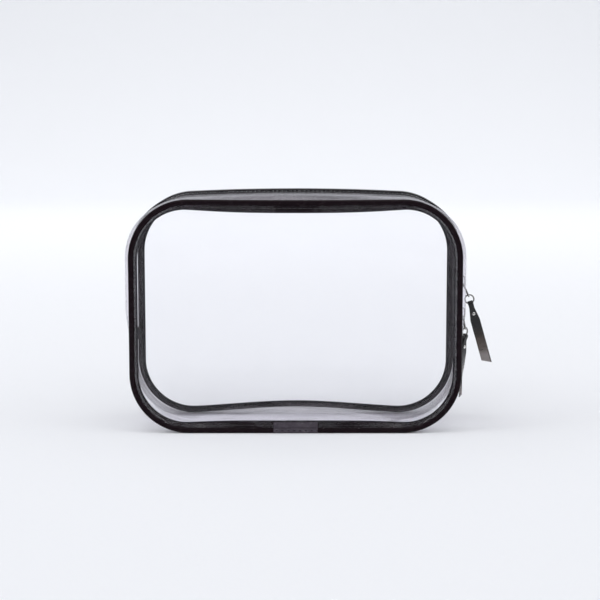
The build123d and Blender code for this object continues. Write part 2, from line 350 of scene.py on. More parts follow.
@dataclass(frozen=True)
class Section:
    """Cross-section sizes that several pieces share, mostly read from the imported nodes.

    Rises are measured outwards from the outline, insets inwards, and depths from the middle plane.
    """

    bead_radius: float
    bead_depth: float
    panel_inside: float
    sheet: float
    hem_outside: float
    zip_side: float
    zip_top: float
    tape_inside: float
    tape_outside: float
    tape_thickness: float
    strip_edge: float
    coil_outside: float
    coil_height: float
    zip_start: float
    binding_inside: float
    seam_width: float = 3.9 * MM
    riser_gap: float = 0.3 * MM
    web: float = 0.6 * MM
    lip: float = 0.4 * MM
    tent: float = 1.9 * MM

    @classmethod
    def from_frame(cls, outline: Outline) -> "Section":
        """Read the sizes off the boxes of the nodes that carry them.

        Args:
            outline: The bag's outline, from which the rises are measured.

        Returns:
            The cross-section.
        """
        bead_low, bead_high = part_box("back_piping")
        panel_low, panel_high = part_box("back_panel")
        tape_low, tape_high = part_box("zip_tape_back")
        side_low, side_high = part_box("zip_tape_front_right")
        _, coil_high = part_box("zip_coil_back")
        strip_low, strip_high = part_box("zip_strip_back")
        return cls(
            bead_radius=(bead_high.y - bead_low.y) / 2,
            bead_depth=(bead_high.y + bead_low.y) / 2,
            panel_inside=panel_low.y,
            sheet=panel_high.y - panel_low.y,
            hem_outside=strip_high.y,
            zip_side=tape_high.x - outline.width / 2,
            zip_top=tape_high.z - outline.height,
            tape_inside=tape_low.y,
            tape_outside=tape_high.y,
            tape_thickness=side_high.x - side_low.x,
            strip_edge=strip_low.y,
            coil_outside=coil_high.y,
            coil_height=coil_high.z - tape_high.z,
            zip_start=strip_low.z,
            binding_inside=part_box("back_seam_binding")[0].y,
        )

    @property
    def bead(self) -> float:
        """Diameter of the piping."""
        return 2 * self.bead_radius

    @property
    def raw_edge(self) -> float:
        """Inset of the cut edges inside the seam."""
        return self.bead + self.seam_width

    @property
    def flange_middle(self) -> float:
        """Depth of the middle of the piping's flange."""
        return (self.panel_inside + self.hem_outside) / 2

    @property
    def hem_middle(self) -> float:
        """Depth of the middle of the gusset's hem."""
        return self.hem_outside - self.sheet / 2

    @property
    def riser(self) -> float:
        """Depth at which the gusset turns outwards behind the bead."""
        return self.bead_depth - self.bead_radius - self.riser_gap

    def hem_corners(self) -> list[tuple[float, float]]:
        """Corners of the gusset's hem and riser.

        Returns:
            Rise and depth of each, from the raw edge outwards.
        """
        inner = self.bead + self.web
        return [(-self.raw_edge, self.hem_middle), (-inner, self.hem_middle), (-inner, self.riser),
                (-self.lip, self.riser)]

    def zip_rise(self, sideways: Array, depth: Array | float = 0.0) -> Array:
        """Rise of the outside of the zip tape, which arches over the top and is tented across it.

        Args:
            sideways: How much the outline faces sideways at each place.
            depth: Depth of each point.

        Returns:
            The side's rise on the sides, and over the top the top's rise less the tent, which grows
            with the square of the depth.
        """
        share = np.square(sideways)
        across = np.square(np.minimum(np.abs(depth) / self.tape_outside, 1.0))
        return self.zip_side * share + (self.zip_top - self.tent * across) * (1.0 - share)


@dataclass(frozen=True)
class SoftShape:
    """How the vinyl gives way: small smooth moves that all of the bag's own pieces share.

    Attributes:
        front_turn: Angle by which the front seam leans inwards at the sides; it stands square at the middle.
        seam_fade: Inset at which a panel has come back from that lean.
        back_reach: Depth at which the back's own moves are whole; they start at the middle plane.
        seam_depths: Depths between which the seam's lean sets in.
        panel_depths: Depths between which the panel's swell sets in.
        gusset_depths: Depths between which the top's moves pass from the zip to the seams.
        floor_depths: Depths between which the folds in the base die away.
        side_shares: Shares of the half width between which the back's splay sets in.
        lean_shares: The same for the front seam's lean.
        middle_share: Share of the width within which the middle lifts and sags.
        sag_share: Share of the height above which the top sags.
        crown_share: Share of the height above which the zip arches.
        ripple_waves: Wave sizes of the panels' ripples: two across, two up.
        fold_waves: Wave sizes of the folds in the base, across and in depth.
    """

    outline: Outline
    section: Section
    back_lift: float = 4.4 * MM
    back_splay: float = 1.4 * MM
    back_rise: float = 1.0 * MM
    top_sag: float = 0.4 * MM
    crown: float = 0.7 * MM
    crown_drop: float = 2.0 * MM
    pillow: float = 0.9 * MM
    ripple: float = 0.4 * MM
    base_ripple: float = 0.5 * MM
    front_turn: float = math.radians(72)
    back_turn: float = math.radians(78)
    seam_fade: float = 31 * MM
    back_reach: float = 32 * MM
    back_height: float = 60 * MM
    seam_depths: tuple[float, float] = (27 * MM, 30.6 * MM)
    panel_depths: tuple[float, float] = (29 * MM, 34 * MM)
    gusset_depths: tuple[float, float] = (16 * MM, 30 * MM)
    floor_depths: tuple[float, float] = (24 * MM, 31 * MM)
    floor_height: float = 9 * MM
    side_shares: tuple[float, float] = (0.6, 0.98)
    lean_shares: tuple[float, float] = (0.05, 0.95)
    middle_share: float = 0.41
    sag_share: float = 0.55
    crown_share: float = 0.86
    ripple_waves: tuple[float, float, float, float] = (31 * MM, 90 * MM, 24 * MM, 27 * MM)
    fold_waves: tuple[float, float] = (19 * MM, 13 * MM)

    def relax(self, points: Array) -> Array:
        """Move points by every effect.

        Args:
            points: Points by 3, on the ideal bag.

        Returns:
            The points, moved.
        """
        x, y, z = points[..., 0], points[..., 1], points[..., 2]
        height = self.outline.height
        inset, normal_x, normal_z = self.outline.inset(x, z)
        lean_out, lean_in = self.lean(x, y, inset)
        behind = smoothstep(0.0, self.back_reach, y)
        sides = smoothstep(*self.side_shares, 2 * np.abs(x) / self.outline.width)
        across = normal_x * lean_out + np.sign(x) * sides * self.back_splay * behind
        depth = self.swell(x, y, z) - np.sign(y) * lean_in
        up = normal_z * lean_out + self.lift(x, y, z) + self.base_folds(x, y, z)
        up = up + self.back_rise * behind * smoothstep(0.5 * height, height, z)
        return points + np.stack([across, depth, up], axis=-1)

    def lean(self, x: Array, y: Array, inset: Array) -> tuple[Array, Array]:
        """The seam's turn about the bead, and the panel's way back to flat.

        Args:
            x: Places across the bag.
            y: Depths.
            inset: Distances inwards from the outline.

        Returns:
            Distances outwards and inwards: the seam width so far times (1 - cosine) and sine of the
            turn.
        """
        share = smoothstep(*self.lean_shares, 2 * np.abs(x) / self.outline.width)
        turn = np.where(y < 0, self.front_turn * share, self.back_turn)
        reach = np.clip(inset - self.section.bead, 0.0, self.section.seam_width)
        reach = reach * smoothstep(*self.seam_depths, np.abs(y))
        reach = reach * smoothstep(self.seam_fade, self.section.raw_edge, inset)
        return reach * (1.0 - np.cos(turn)), reach * np.sin(turn)

    def swell(self, x: Array, y: Array, z: Array) -> Array:
        """The panels' outward swell, with long ripples, which dies away towards the seam.

        Args:
            x: Places across the bag.
            y: Depths.
            z: Heights.

        Returns:
            Depth moves: pillow plus ripple times a product of two bent waves, all times one less
            the fourth power of the way to each edge.
        """
        across = np.clip(2 * np.abs(x) / self.outline.width, 0, 1)
        up = np.clip(np.abs(2 * z / self.outline.height - 1), 0, 1)
        inner = (1.0 - across**4) * (1.0 - up**4) * smoothstep(*self.panel_depths, np.abs(y))
        wave_x, drift_x, bend_z, wave_z = self.ripple_waves
        slow = np.sin(x / wave_x + 1.4 * np.sin(z / bend_z))
        wave = slow * np.cos(z / wave_z + 0.6 + x / drift_x)
        return np.sign(y) * inner * (self.pillow + self.ripple * wave)

    def lift(self, x: Array, y: Array, z: Array) -> Array:
        """Height moves: the back's lower edge is drawn up, the top seams sag and the zip arches.

        Args:
            x: Places across the bag.
            y: Depths.
            z: Heights.

        Returns:
            Lift less sag, strongest at the middle, plus the zip's arch, a parabola across the bag.
        """
        height, spread = self.outline.height, self.middle_share * self.outline.width
        middle = smoothstep(spread, 0.0, np.abs(x))
        seam = smoothstep(*self.gusset_depths, np.abs(y))
        behind = smoothstep(0.0, self.back_reach, y)
        lift = self.back_lift * behind * smoothstep(self.back_height, 0.0, z)
        sag = self.top_sag * seam * smoothstep(self.sag_share * height, height, z)
        arch = 1.0 - np.square(np.clip(np.abs(x) / spread, 0.0, 1.0))
        crown = (self.crown * arch - self.crown_drop * (1.0 - arch)) * (1.0 - seam)
        return middle * (lift - sag) + crown * smoothstep(self.crown_share * height, height, z)

    def base_folds(self, x: Array, y: Array, z: Array) -> Array:
        """Shallow folds that stand up from the base between its seams.

        Args:
            x: Places across the bag.
            y: Depths.
            z: Heights.

        Returns:
            Height moves: a wave across the bag, bent by a second wave in depth, never below zero.
        """
        inside = 1.0 - smoothstep(*self.floor_depths, np.abs(y))
        floor = smoothstep(self.floor_height, 0.0, z) * inside
        wave_x, bend_y = self.fold_waves
        return self.base_ripple * floor * (0.5 + 0.5 * np.sin(x / wave_x + 1.7 * np.cos(y / bend_y)))


# ---- Sweeps ----


def soft_line(corners: list[tuple[float, ...]], count: int, passes: int = 3) -> Array:
    """An evenly spaced line through corners, with the corners rounded.

    Args:
        corners: Corner points.
        count: Number of points on the line.
        passes: How many times each point is averaged with its neighbours.

    Returns:
        Points, count by the corners' own length.
    """
    given = np.array(corners, float)
    way = path_lengths(given, wrap=False)
    even = np.linspace(0, way[-1], count)
    line = np.stack([np.interp(even, way, given[:, k]) for k in range(given.shape[1])], axis=-1)
    for _ in range(passes):
        line[1:-1] = (line[:-2] + 2 * line[1:-1] + line[2:]) / 4
    return line


@dataclass(frozen=True)
class Sweep:
    """Sweeps sections round the bag's outline and lets them relax with the rest of the bag."""

    shape: SoftShape

    def surface(self, places: Array, rise: Array, depth: Array, closed: bool) -> Surface:
        """A closed section, which may change on the way, swept along the outline.

        Args:
            places: Places on the outline.
            rise: Rise of each section point, places by points.
            depth: Depth of each section point, places by points.
            closed: Whether the places run all the way round.

        Returns:
            The surface, capped if the places don't close.
        """
        outline = self.shape.outline
        points = self.shape.relax(outline.point(places[:, None], rise, depth))
        along = np.append(places, places[0] + outline.length) if closed else places
        ring = np.stack([np.broadcast_to(v, points.shape[:2])[0] for v in (rise, depth)], -1)
        return Surface(points, along, path_lengths(ring, wrap=True), wrap_rows=closed, wrap_columns=True,
                       capped=not closed)

    def ribbon(self, places: Array, rise: Array, depth: Array, thickness: float,
               closed: bool = False) -> Surface:
        """A sheet of even thickness about a line in the section.

        Args:
            places: Places on the outline.
            rise: Rise of the sheet's middle, places (or 1) by points.
            depth: Depth of the sheet's middle, places (or 1) by points.
            thickness: Thickness, laid off square to the line, half to each side.
            closed: Whether the places run all the way round.

        Returns:
            The sheet, with both faces and its edges.
        """
        shape = (len(places), max(rise.shape[-1], depth.shape[-1]))
        rise, depth = np.broadcast_to(rise, shape), np.broadcast_to(depth, shape)
        step_rise, step_depth = np.gradient(rise, axis=1), np.gradient(depth, axis=1)
        size = np.hypot(step_rise, step_depth) + TINY
        off_rise = -step_depth / size * thickness / 2
        off_depth = step_rise / size * thickness / 2
        both_rise = np.concatenate([rise + off_rise, (rise - off_rise)[:, ::-1]], axis=1)
        both_depth = np.concatenate([depth + off_depth, (depth - off_depth)[:, ::-1]], axis=1)
        return self.surface(places, both_rise, both_depth, closed)

    def tube(self, places: Array, rise: float, depth: float, radius: Array | float,
             sides: int) -> Surface:
        """A round tube all the way round the bag, whose radius may change from place to place.

        Args:
            places: Places on the outline.
            rise: Rise of the tube's middle.
            depth: Depth of the tube's middle.
            radius: Radius, one or one for each place.
            sides: Number of points round the tube.

        Returns:
            The closed tube: its middle plus radius times the cosine and sine of even angles.
        """
        angle = TAU * np.arange(sides) / sides
        rise, depth, radius = (np.broadcast_to(v, places.shape)[:, None] for v in (rise, depth, radius))
        return self.surface(places, rise + radius * np.cos(angle), depth + radius * np.sin(angle), True)

    def thread(self, path: Array, radius: float, sides: int = 6, closed: bool = False) -> Surface:
        """A thread along points that are already in place, relaxed before it is swept.

        Args:
            path: Points of its middle line, on the ideal bag.
            radius: Radius of the thread.
            sides: Number of points round it.
            closed: Whether the path closes on itself.

        Returns:
            The thread.
        """
        moved = self.shape.relax(path)
        return sweep_bar(moved, side_vectors(moved, closed), radius, radius, sides, 2.0, closed)


def tangents(path: Array, closed: bool) -> Array:
    """Unit directions along a path.

    Args:
        path: Points by 3.
        closed: Whether the path closes on itself.

    Returns:
        Differences between the points before and after each point, made one long.
    """
    if closed:
        steps = np.roll(path, -1, axis=0) - np.roll(path, 1, axis=0)
    else:
        steps = np.gradient(path, axis=0)
    return steps / (np.linalg.norm(steps, axis=1, keepdims=True) + TINY)


def side_vectors(path: Array, closed: bool) -> Array:
    """A direction square to the path at each point.

    Args:
        path: Points by 3.
        closed: Whether the path closes on itself.

    Returns:
        +Y with its share along the path taken out, or +X where the path runs nearly along Y.
    """
    along = tangents(path, closed)
    base = np.where(np.abs(along[:, 1:2]) < 0.9, AXIS_Y[None], AXIS_X[None])
    side = base - along * (base * along).sum(axis=1, keepdims=True)
    return side / np.linalg.norm(side, axis=1, keepdims=True)


def sweep_bar(path: Array, side: Array, half_width: float | Array, half_thickness: float | Array,
              sides: int, power: float, closed: bool) -> Surface:
    """Sweep a rounded section along a path.

    Args:
        path: Points of the middle line, by 3.
        side: Direction of the width, one for all points or one for each.
        half_width: Half the width along side.
        half_thickness: Half the thickness, square to side and to the path.
        sides: Number of points round the section.
        power: 2 gives an ellipse; higher powers give a rounded rectangle.
        closed: Whether the path closes on itself.

    Returns:
        The swept surface, capped if it is open.
    """
    along = tangents(path, closed)
    side = np.broadcast_to(side, path.shape)
    side = side - along * (side * along).sum(axis=1, keepdims=True)
    side = side / np.linalg.norm(side, axis=1, keepdims=True)
    normal = np.cross(along, side)
    angle = TAU * (np.arange(sides) + 0.5) / sides
    cos, sin = np.cos(angle), np.sin(angle)
    across = (np.sign(cos) * np.abs(cos) ** (2 / power))[None, :, None]
    through = (np.sign(sin) * np.abs(sin) ** (2 / power))[None, :, None]
    halves = (half_width, half_thickness)
    width, thick = (np.broadcast_to(v, (len(path),))[:, None, None] for v in halves)
    points = path[:, None] + side[:, None] * across * width + normal[:, None] * through * thick
    return Surface(points, path_lengths(path, closed), path_lengths(points[len(path) // 2], True),
                   wrap_rows=closed, wrap_columns=True, capped=not closed)


def stacked(outline: Array, origin: Array, axes: Array, low: float, high: float,
            edge: float) -> Surface:
    """A plate with softly rounded edges, as a stack of outlines.

    Args:
        outline: Points by 2 round the plate's middle.
        origin: Where the outline's own (0, 0) is.
        axes: Three rows: the outline's two directions and the stacking direction.
        low: Lowest level of the plate.
        high: Highest level.
        edge: Radius of the edges.

    Returns:
        The plate: near each face the outline is drawn in by edge times one less the sine of a
        quarter turn, as the level changes by edge times one less its cosine.
    """
    turn = np.linspace(0, math.pi / 2, 4)
    inwards = edge * (1 - np.sin(turn))
    climb = edge * (1 - np.cos(turn))
    levels = np.concatenate([low + climb, high - climb[::-1]])
    inwards = np.concatenate([inwards, inwards[::-1]])
    forward = np.roll(outline, -1, axis=0) - np.roll(outline, 1, axis=0)
    normal = np.stack([forward[:, 1], -forward[:, 0]], axis=1)
    normal /= np.linalg.norm(normal, axis=1, keepdims=True)
    flat = outline[None] - normal[None] * inwards[:, None, None]
    points = origin + flat @ axes[:2] + levels[:, None, None] * axes[2]
    return Surface(points, levels, path_lengths(outline, True), wrap_columns=True, capped=True)


def lathe(profile: Array, origin: Array, axis: Array, sides: int) -> Surface:
    """Turn a profile about an axis.

    Args:
        profile: Radius and height of each point.
        origin: Point on the axis at height 0.
        axis: Direction of the axis.
        sides: Number of points round it.

    Returns:
        The turned surface, capped at both ends.
    """
    axis = axis / np.linalg.norm(axis)
    first = np.cross(axis, [0.3, 0.5, 0.8])
    first /= np.linalg.norm(first)
    angle = TAU * np.arange(sides) / sides
    ring = np.cos(angle)[:, None] * first + np.sin(angle)[:, None] * np.cross(axis, first)
    points = origin + profile[:, :1, None] * ring[None] + profile[:, 1:, None] * axis
    around = np.append(angle, 0.0) * MM
    return Surface(points, path_lengths(profile, False), around, wrap_columns=True, capped=True)


# ---- Materials ----


class Graph:
    """Short calls for building a node tree."""

    def __init__(self, tree: bpy.types.NodeTree) -> None:
        """Take the tree that the calls add to."""
        self.tree = tree

    def add(self, kind: str, inputs: dict | None = None, **settings: object) -> bpy.types.Node:
        """Add a node.

        Args:
            kind: Type of node.
            inputs: Input name or number, with a value or with the socket that feeds it.
            settings: Properties of the node.

        Returns:
            The node.
        """
        node = self.tree.nodes.new(kind)
        for name, value in settings.items():
            setattr(node, name, value)
        for name, value in (inputs or {}).items():
            if isinstance(value, bpy.types.NodeSocket):
                self.tree.links.new(value, node.inputs[name])
            else:
                node.inputs[name].default_value = value
        return node

    def math(self, operation: str, *values: object, clamp: bool = False) -> bpy.types.NodeSocket:
        """A math node's result."""
        node = self.add("ShaderNodeMath", dict(enumerate(values)), operation=operation, use_clamp=clamp)
        return node.outputs[0]

    def noise(self, vector: bpy.types.NodeSocket, scale: float, detail: float = 3.0) -> bpy.types.NodeSocket:
        """A noise texture's value."""
        sockets = {"Vector": vector, "Scale": scale, "Detail": detail}
        return self.add("ShaderNodeTexNoise", sockets).outputs["Fac"]

    def ramp(self, value: bpy.types.NodeSocket, low: float, high: float) -> bpy.types.NodeSocket:
        """Value mapped from low..high to 0..1, smoothly."""
        return self.add("ShaderNodeMapRange", {"Value": value, "From Min": low, "From Max": high},
                        interpolation_type="SMOOTHSTEP").outputs["Result"]

    def colors(self, value: bpy.types.NodeSocket, first: Color, second: Color) -> bpy.types.NodeSocket:
        """First colour at 0, second at 1."""
        node = self.add("ShaderNodeMix", {0: value, 6: (*first, 1.0), 7: (*second, 1.0)}, data_type="RGBA")
        return node.outputs[2]

    def bump(self, height: bpy.types.NodeSocket, distance: object) -> bpy.types.NodeSocket:
        """A normal from a height of 0 to 1 that stands for distance in metres."""
        return self.add("ShaderNodeBump", {"Height": height, "Distance": distance}).outputs["Normal"]

    def own_map(self) -> bpy.types.NodeSocket:
        """The piece's own map in metres: along it, then round or across it."""
        return self.add("ShaderNodeUVMap", uv_map="metres").outputs["UV"]

    def place(self) -> bpy.types.NodeSocket:
        """The place in the bag's frame."""
        return self.add("ShaderNodeTexCoord").outputs["Object"]

    def finish(self, kind: str, **values: object) -> None:
        """End the tree: an output node whose sockets take the given values.

        Args:
            kind: Type of the output node.
            values: Sockets that feed its inputs, by the input's name.
        """
        out = self.add(kind)
        for label, value in values.items():
            self.tree.links.new(value, out.inputs[label])


def new_group(name: str, inputs: dict[str, float],
              outputs: dict[str, str]) -> tuple[Graph, bpy.types.NodeOutputs]:
    """Make an effect group with value inputs.

    Args:
        name: Name of the group.
        inputs: Names and default values of its inputs.
        outputs: Names and kinds of its outputs.

    Returns:
        Its graph and the values given to it.
    """
    tree = bpy.data.node_groups.new(name, "ShaderNodeTree")
    for label, default in inputs.items():
        socket = tree.interface.new_socket(label, in_out="INPUT", socket_type="NodeSocketFloat")
        socket.default_value = default
    for label, kind in outputs.items():
        tree.interface.new_socket(label, in_out="OUTPUT", socket_type=kind)
    return Graph(tree), tree.nodes.new("NodeGroupInput").outputs


def use_group(graph: Graph, tree: bpy.types.NodeTree, **inputs: float) -> bpy.types.NodeOutputs:
    """Place an effect group in a material.

    Args:
        graph: The material's graph.
        tree: The group.
        inputs: Values of its inputs, by name.

    Returns:
        The group's results.
    """
    return graph.add("ShaderNodeGroup", inputs, node_tree=tree).outputs


def weave_group() -> bpy.types.NodeTree:
    """Woven tape: crossing threads, as the product of a sine along the piece and one across it.

    Returns:
        A group with the threads' pitch and depth, and their crowns as a mask and a normal.
    """
    graph, given = new_group("weave", {"Pitch": 0.0005, "Depth": 0.00005},
                             {"Mask": "NodeSocketFloat", "Normal": "NodeSocketVector"})
    split = graph.add("ShaderNodeSeparateXYZ", {"Vector": graph.own_map()}).outputs
    turns = graph.math("DIVIDE", TAU / 2, given["Pitch"])
    along, across = (graph.math("SINE", graph.math("MULTIPLY", split[axis], turns)) for axis in "XY")
    mask = graph.math("MULTIPLY_ADD", graph.math("MULTIPLY", along, across), 0.5, 0.5)
    graph.finish("NodeGroupOutput", Mask=mask, Normal=graph.bump(mask, given["Depth"]))
    return graph.tree


def wear_group() -> bpy.types.NodeTree:
    """Handling wear: long fine scratches from stretched noise, and smudges from coarse noise.

    Returns:
        A group with the wear's amount and the scratches' depth, and a mask and a normal.
    """
    graph, given = new_group("wear", {"Amount": 0.5, "Scratch Depth": 0.000004},
                             {"Mask": "NodeSocketFloat", "Normal": "NodeSocketVector"})
    place = graph.place()
    stretched = graph.add("ShaderNodeMapping", {
        "Vector": place, "Scale": (400.0, 2600.0, 900.0), "Rotation": (0.3, 0.9, 0.2)}).outputs["Vector"]
    scratch = graph.ramp(graph.noise(stretched, scale=1.0, detail=2.0), low=0.6, high=0.72)
    smudge = graph.ramp(graph.noise(place, scale=260.0, detail=4.0), low=0.42, high=0.68)
    both = graph.math("ADD", scratch, graph.math("MULTIPLY", smudge, 0.6))
    mask = graph.math("MULTIPLY", both, given["Amount"], clamp=True)
    graph.finish("NodeGroupOutput", Mask=mask, Normal=graph.bump(scratch, given["Scratch Depth"]))
    return graph.tree


def grain_group() -> bpy.types.NodeTree:
    """Embossed grain of coated vinyl: small cells broken up by noise.

    Returns:
        A group with the cells' scale and depth, and a normal.
    """
    graph, given = new_group("grain", {"Scale": 1800.0, "Depth": 0.00002}, {"Normal": "NodeSocketVector"})
    place = graph.place()
    cells = graph.add("ShaderNodeTexVoronoi", {"Vector": place, "Scale": given["Scale"]}).outputs["Distance"]
    broken = graph.noise(place, scale=700.0)
    height = graph.math("MULTIPLY_ADD", broken, 0.5, graph.math("MULTIPLY", cells, 0.6))
    graph.finish("NodeGroupOutput", Normal=graph.bump(height, given["Depth"]))
    return graph.tree


@dataclass(frozen=True)
class Effects:
    """The effect groups that materials share."""

    weave: bpy.types.NodeTree
    wear: bpy.types.NodeTree
    grain: bpy.types.NodeTree

    @classmethod
    def make(cls) -> "Effects":
        """Build every group once."""
        return cls(weave_group(), wear_group(), grain_group())


def new_material(name: str) -> tuple[bpy.types.Material, Graph]:
    """Make an empty material.

    Args:
        name: Its name.

    Returns:
        The material and its graph.
    """
    material = bpy.data.materials.new(name)
    material.use_nodes = True
    material.node_tree.nodes.clear()
    return material, Graph(material.node_tree)


@dataclass(frozen=True)
class ClearFilm:
    """Clear vinyl film: it tints what lies behind it, mirrors at low angles and carries a thin haze; where
    the haze colour is dark, as on the gusset, the haze and its lines are a painted reflection.
    """

    name: str
    tint: Color = (0.988, 0.988, 0.992)
    sheen: Color = (0.96, 0.96, 0.98)
    haze: float = 0.007
    # Haze colour: pale for a real thin haze; a dark colour paints in reflections.
    haze_and_reflection_color: Color = (0.66, 0.66, 0.72)
    ripple: float = 0.0004
    index: float = 1.23
    # Share of painted reflection lines along the piece.
    reflection_streaks: float = 0.0

    def build(self) -> bpy.types.Material:
        """Make the material.

        Returns:
            See-through film mixed with a mirror by Fresnel's law, the index turned over on faces
            seen from behind, and a little haze in smudges and lines; where the haze colour is dark,
            the haze and the lines are a painted reflection.
        """
        material, graph = new_material(self.name)
        place = graph.place()
        broad = graph.noise(place, scale=14.0, detail=2.0)
        fine = graph.math("MULTIPLY", graph.noise(place, scale=90.0, detail=2.0), 0.08)
        normal = graph.bump(graph.math("ADD", broad, fine), self.ripple * 4)
        through = graph.add("ShaderNodeBsdfTransparent", {"Color": (*self.tint, 1.0)}).outputs[0]
        mirror = graph.add("ShaderNodeBsdfGlossy", {
            "Color": (*self.sheen, 1.0), "Roughness": 0.06, "Normal": normal}).outputs[0]
        # The haze: a real thin haze with a pale colour, a painted reflection with a dark one.
        scatter = graph.add("ShaderNodeBsdfPrincipled", {
            "Base Color": (*self.haze_and_reflection_color, 1.0), "Roughness": 0.5}).outputs[0]
        inside = graph.add("ShaderNodeNewGeometry").outputs["Backfacing"]
        index = graph.math("MULTIPLY_ADD", inside, 1 / self.index - self.index, self.index)
        fresnel = graph.add("ShaderNodeFresnel", {"IOR": index, "Normal": normal}).outputs[0]
        film = graph.add("ShaderNodeMixShader", {0: fresnel, 1: through, 2: mirror}).outputs[0]
        smudge = graph.ramp(graph.noise(place, scale=60.0, detail=4.0), low=0.35, high=0.75)
        # Lines along the piece: painted reflections on the film.
        drawn = graph.add("ShaderNodeMapping", {"Vector": graph.own_map(), "Scale": (16.0, 110.0, 1.0)})
        lines = graph.noise(drawn.outputs["Vector"], scale=1.0, detail=3.0)
        reflection_streak = graph.ramp(lines, low=0.48, high=0.66)
        even = graph.math("MULTIPLY_ADD", smudge, self.haze * 0.6, self.haze * 0.7)
        share = graph.math("MULTIPLY_ADD", reflection_streak, self.reflection_streaks, even)
        hazy = graph.add("ShaderNodeMixShader", {0: share, 1: film, 2: scatter}).outputs[0]
        graph.finish("ShaderNodeOutputMaterial", Surface=hazy)
        return material


@dataclass(frozen=True)
class CoatedVinyl:
    """Opaque glossy vinyl with a fine grain, paler where it has been stretched or rubbed."""

    name: str
    color: Color
    rubbed: Color
    roughness: float = 0.24
    coat: float = 0.045
    specular: float = 0.07
    grain_depth: float = 0.000003
    wear: float = 0.5

    def build(self, effects: Effects) -> bpy.types.Material:
        """Make the material.

        Args:
            effects: The shared effect groups.

        Returns:
            Grained vinyl, whose colour and roughness follow the wear.
        """
        material, graph = new_material(self.name)
        grain = use_group(graph, effects.grain, Depth=self.grain_depth)
        worn = use_group(graph, effects.wear, Amount=self.wear)["Mask"]
        shader = graph.add("ShaderNodeBsdfPrincipled", {
            "Base Color": graph.colors(worn, self.color, self.rubbed),
            "Roughness": graph.math("MULTIPLY_ADD", worn, 0.18, self.roughness), "Normal": grain["Normal"],
            "Specular IOR Level": self.specular, "Coat Weight": self.coat, "Coat Roughness": 0.06})
        graph.finish("ShaderNodeOutputMaterial", Surface=shader.outputs[0])
        return material


@dataclass(frozen=True)
class WovenTape:
    """Woven textile tape: dark threads whose crowns are painted lighter as a highlight, with lint."""

    name: str
    color: Color
    # Lighter colour: a painted highlight on the woven crowns, and also the colour of the lint.
    crown: Color
    pitch: float = 0.0006
    depth: float = 0.00008
    roughness: float = 0.72

    def build(self, effects: Effects) -> bpy.types.Material:
        """Make the material.

        Args:
            effects: The shared effect groups.

        Returns:
            Woven tape with lint, half its colour from the weave, whose crowns carry a painted highlight, and
            half from the lint.
        """
        material, graph = new_material(self.name)
        weave = use_group(graph, effects.weave, Pitch=self.pitch, Depth=self.depth)
        lint = graph.ramp(graph.noise(graph.place(), scale=500.0, detail=5.0), low=0.55, high=0.8)
        # Painted highlight: the crowns of the weave take the lighter colour.
        tone = graph.colors(weave["Mask"], self.color, self.crown)
        dusty = graph.colors(graph.math("MULTIPLY", lint, 0.35), self.color, self.crown)
        mixed = graph.add("ShaderNodeMix", {0: 0.5, 6: tone, 7: dusty}, data_type="RGBA").outputs[2]
        shader = graph.add("ShaderNodeBsdfPrincipled", {
            "Base Color": mixed, "Roughness": self.roughness, "Normal": weave["Normal"],
            "Sheen Weight": 0.03, "Specular IOR Level": 0.08})
        graph.finish("ShaderNodeOutputMaterial", Surface=shader.outputs[0])
        return material


@dataclass(frozen=True)
class Fibre:
    """Thread, cord or nylon wire, with a twist that winds along its length."""

    name: str
    color: Color
    twist: Color
    pitch: float
    depth: float
    roughness: float

    def build(self) -> bpy.types.Material:
        """Make the material.

        Returns:
            Fibre whose strands are a sine of the way along it plus the way round it.
        """
        material, graph = new_material(self.name)
        split = graph.add("ShaderNodeSeparateXYZ", {"Vector": graph.own_map()}).outputs
        phase = graph.math("ADD", split["X"], split["Y"])
        wave = graph.math("SINE", graph.math("MULTIPLY", phase, TAU / self.pitch))
        mask = graph.math("MULTIPLY_ADD", wave, 0.5, 0.5)
        shader = graph.add("ShaderNodeBsdfPrincipled", {
            "Base Color": graph.colors(mask, self.color, self.twist), "Roughness": self.roughness,
            "Normal": graph.bump(mask, self.depth)})
        graph.finish("ShaderNodeOutputMaterial", Surface=shader.outputs[0])
        return material


@dataclass(frozen=True)
class PlatedMetal:
    """Polished plating with fine scratches, and darker, rougher patches where it has been handled."""

    name: str
    color: Color
    worn: Color
    roughness: float
    wear: float = 0.8

    def build(self, effects: Effects) -> bpy.types.Material:
        """Make the material.

        Args:
            effects: The shared effect groups.

        Returns:
            Metal, whose colour and roughness follow the wear.
        """
        material, graph = new_material(self.name)
        wear = use_group(graph, effects.wear, Amount=self.wear)
        shader = graph.add("ShaderNodeBsdfPrincipled", {
            "Base Color": graph.colors(wear["Mask"], self.color, self.worn), "Metallic": 1.0,
            "Roughness": graph.math("MULTIPLY_ADD", wear["Mask"], 0.22, self.roughness),
            "Normal": wear["Normal"]})
        graph.finish("ShaderNodeOutputMaterial", Surface=shader.outputs[0])
        return material


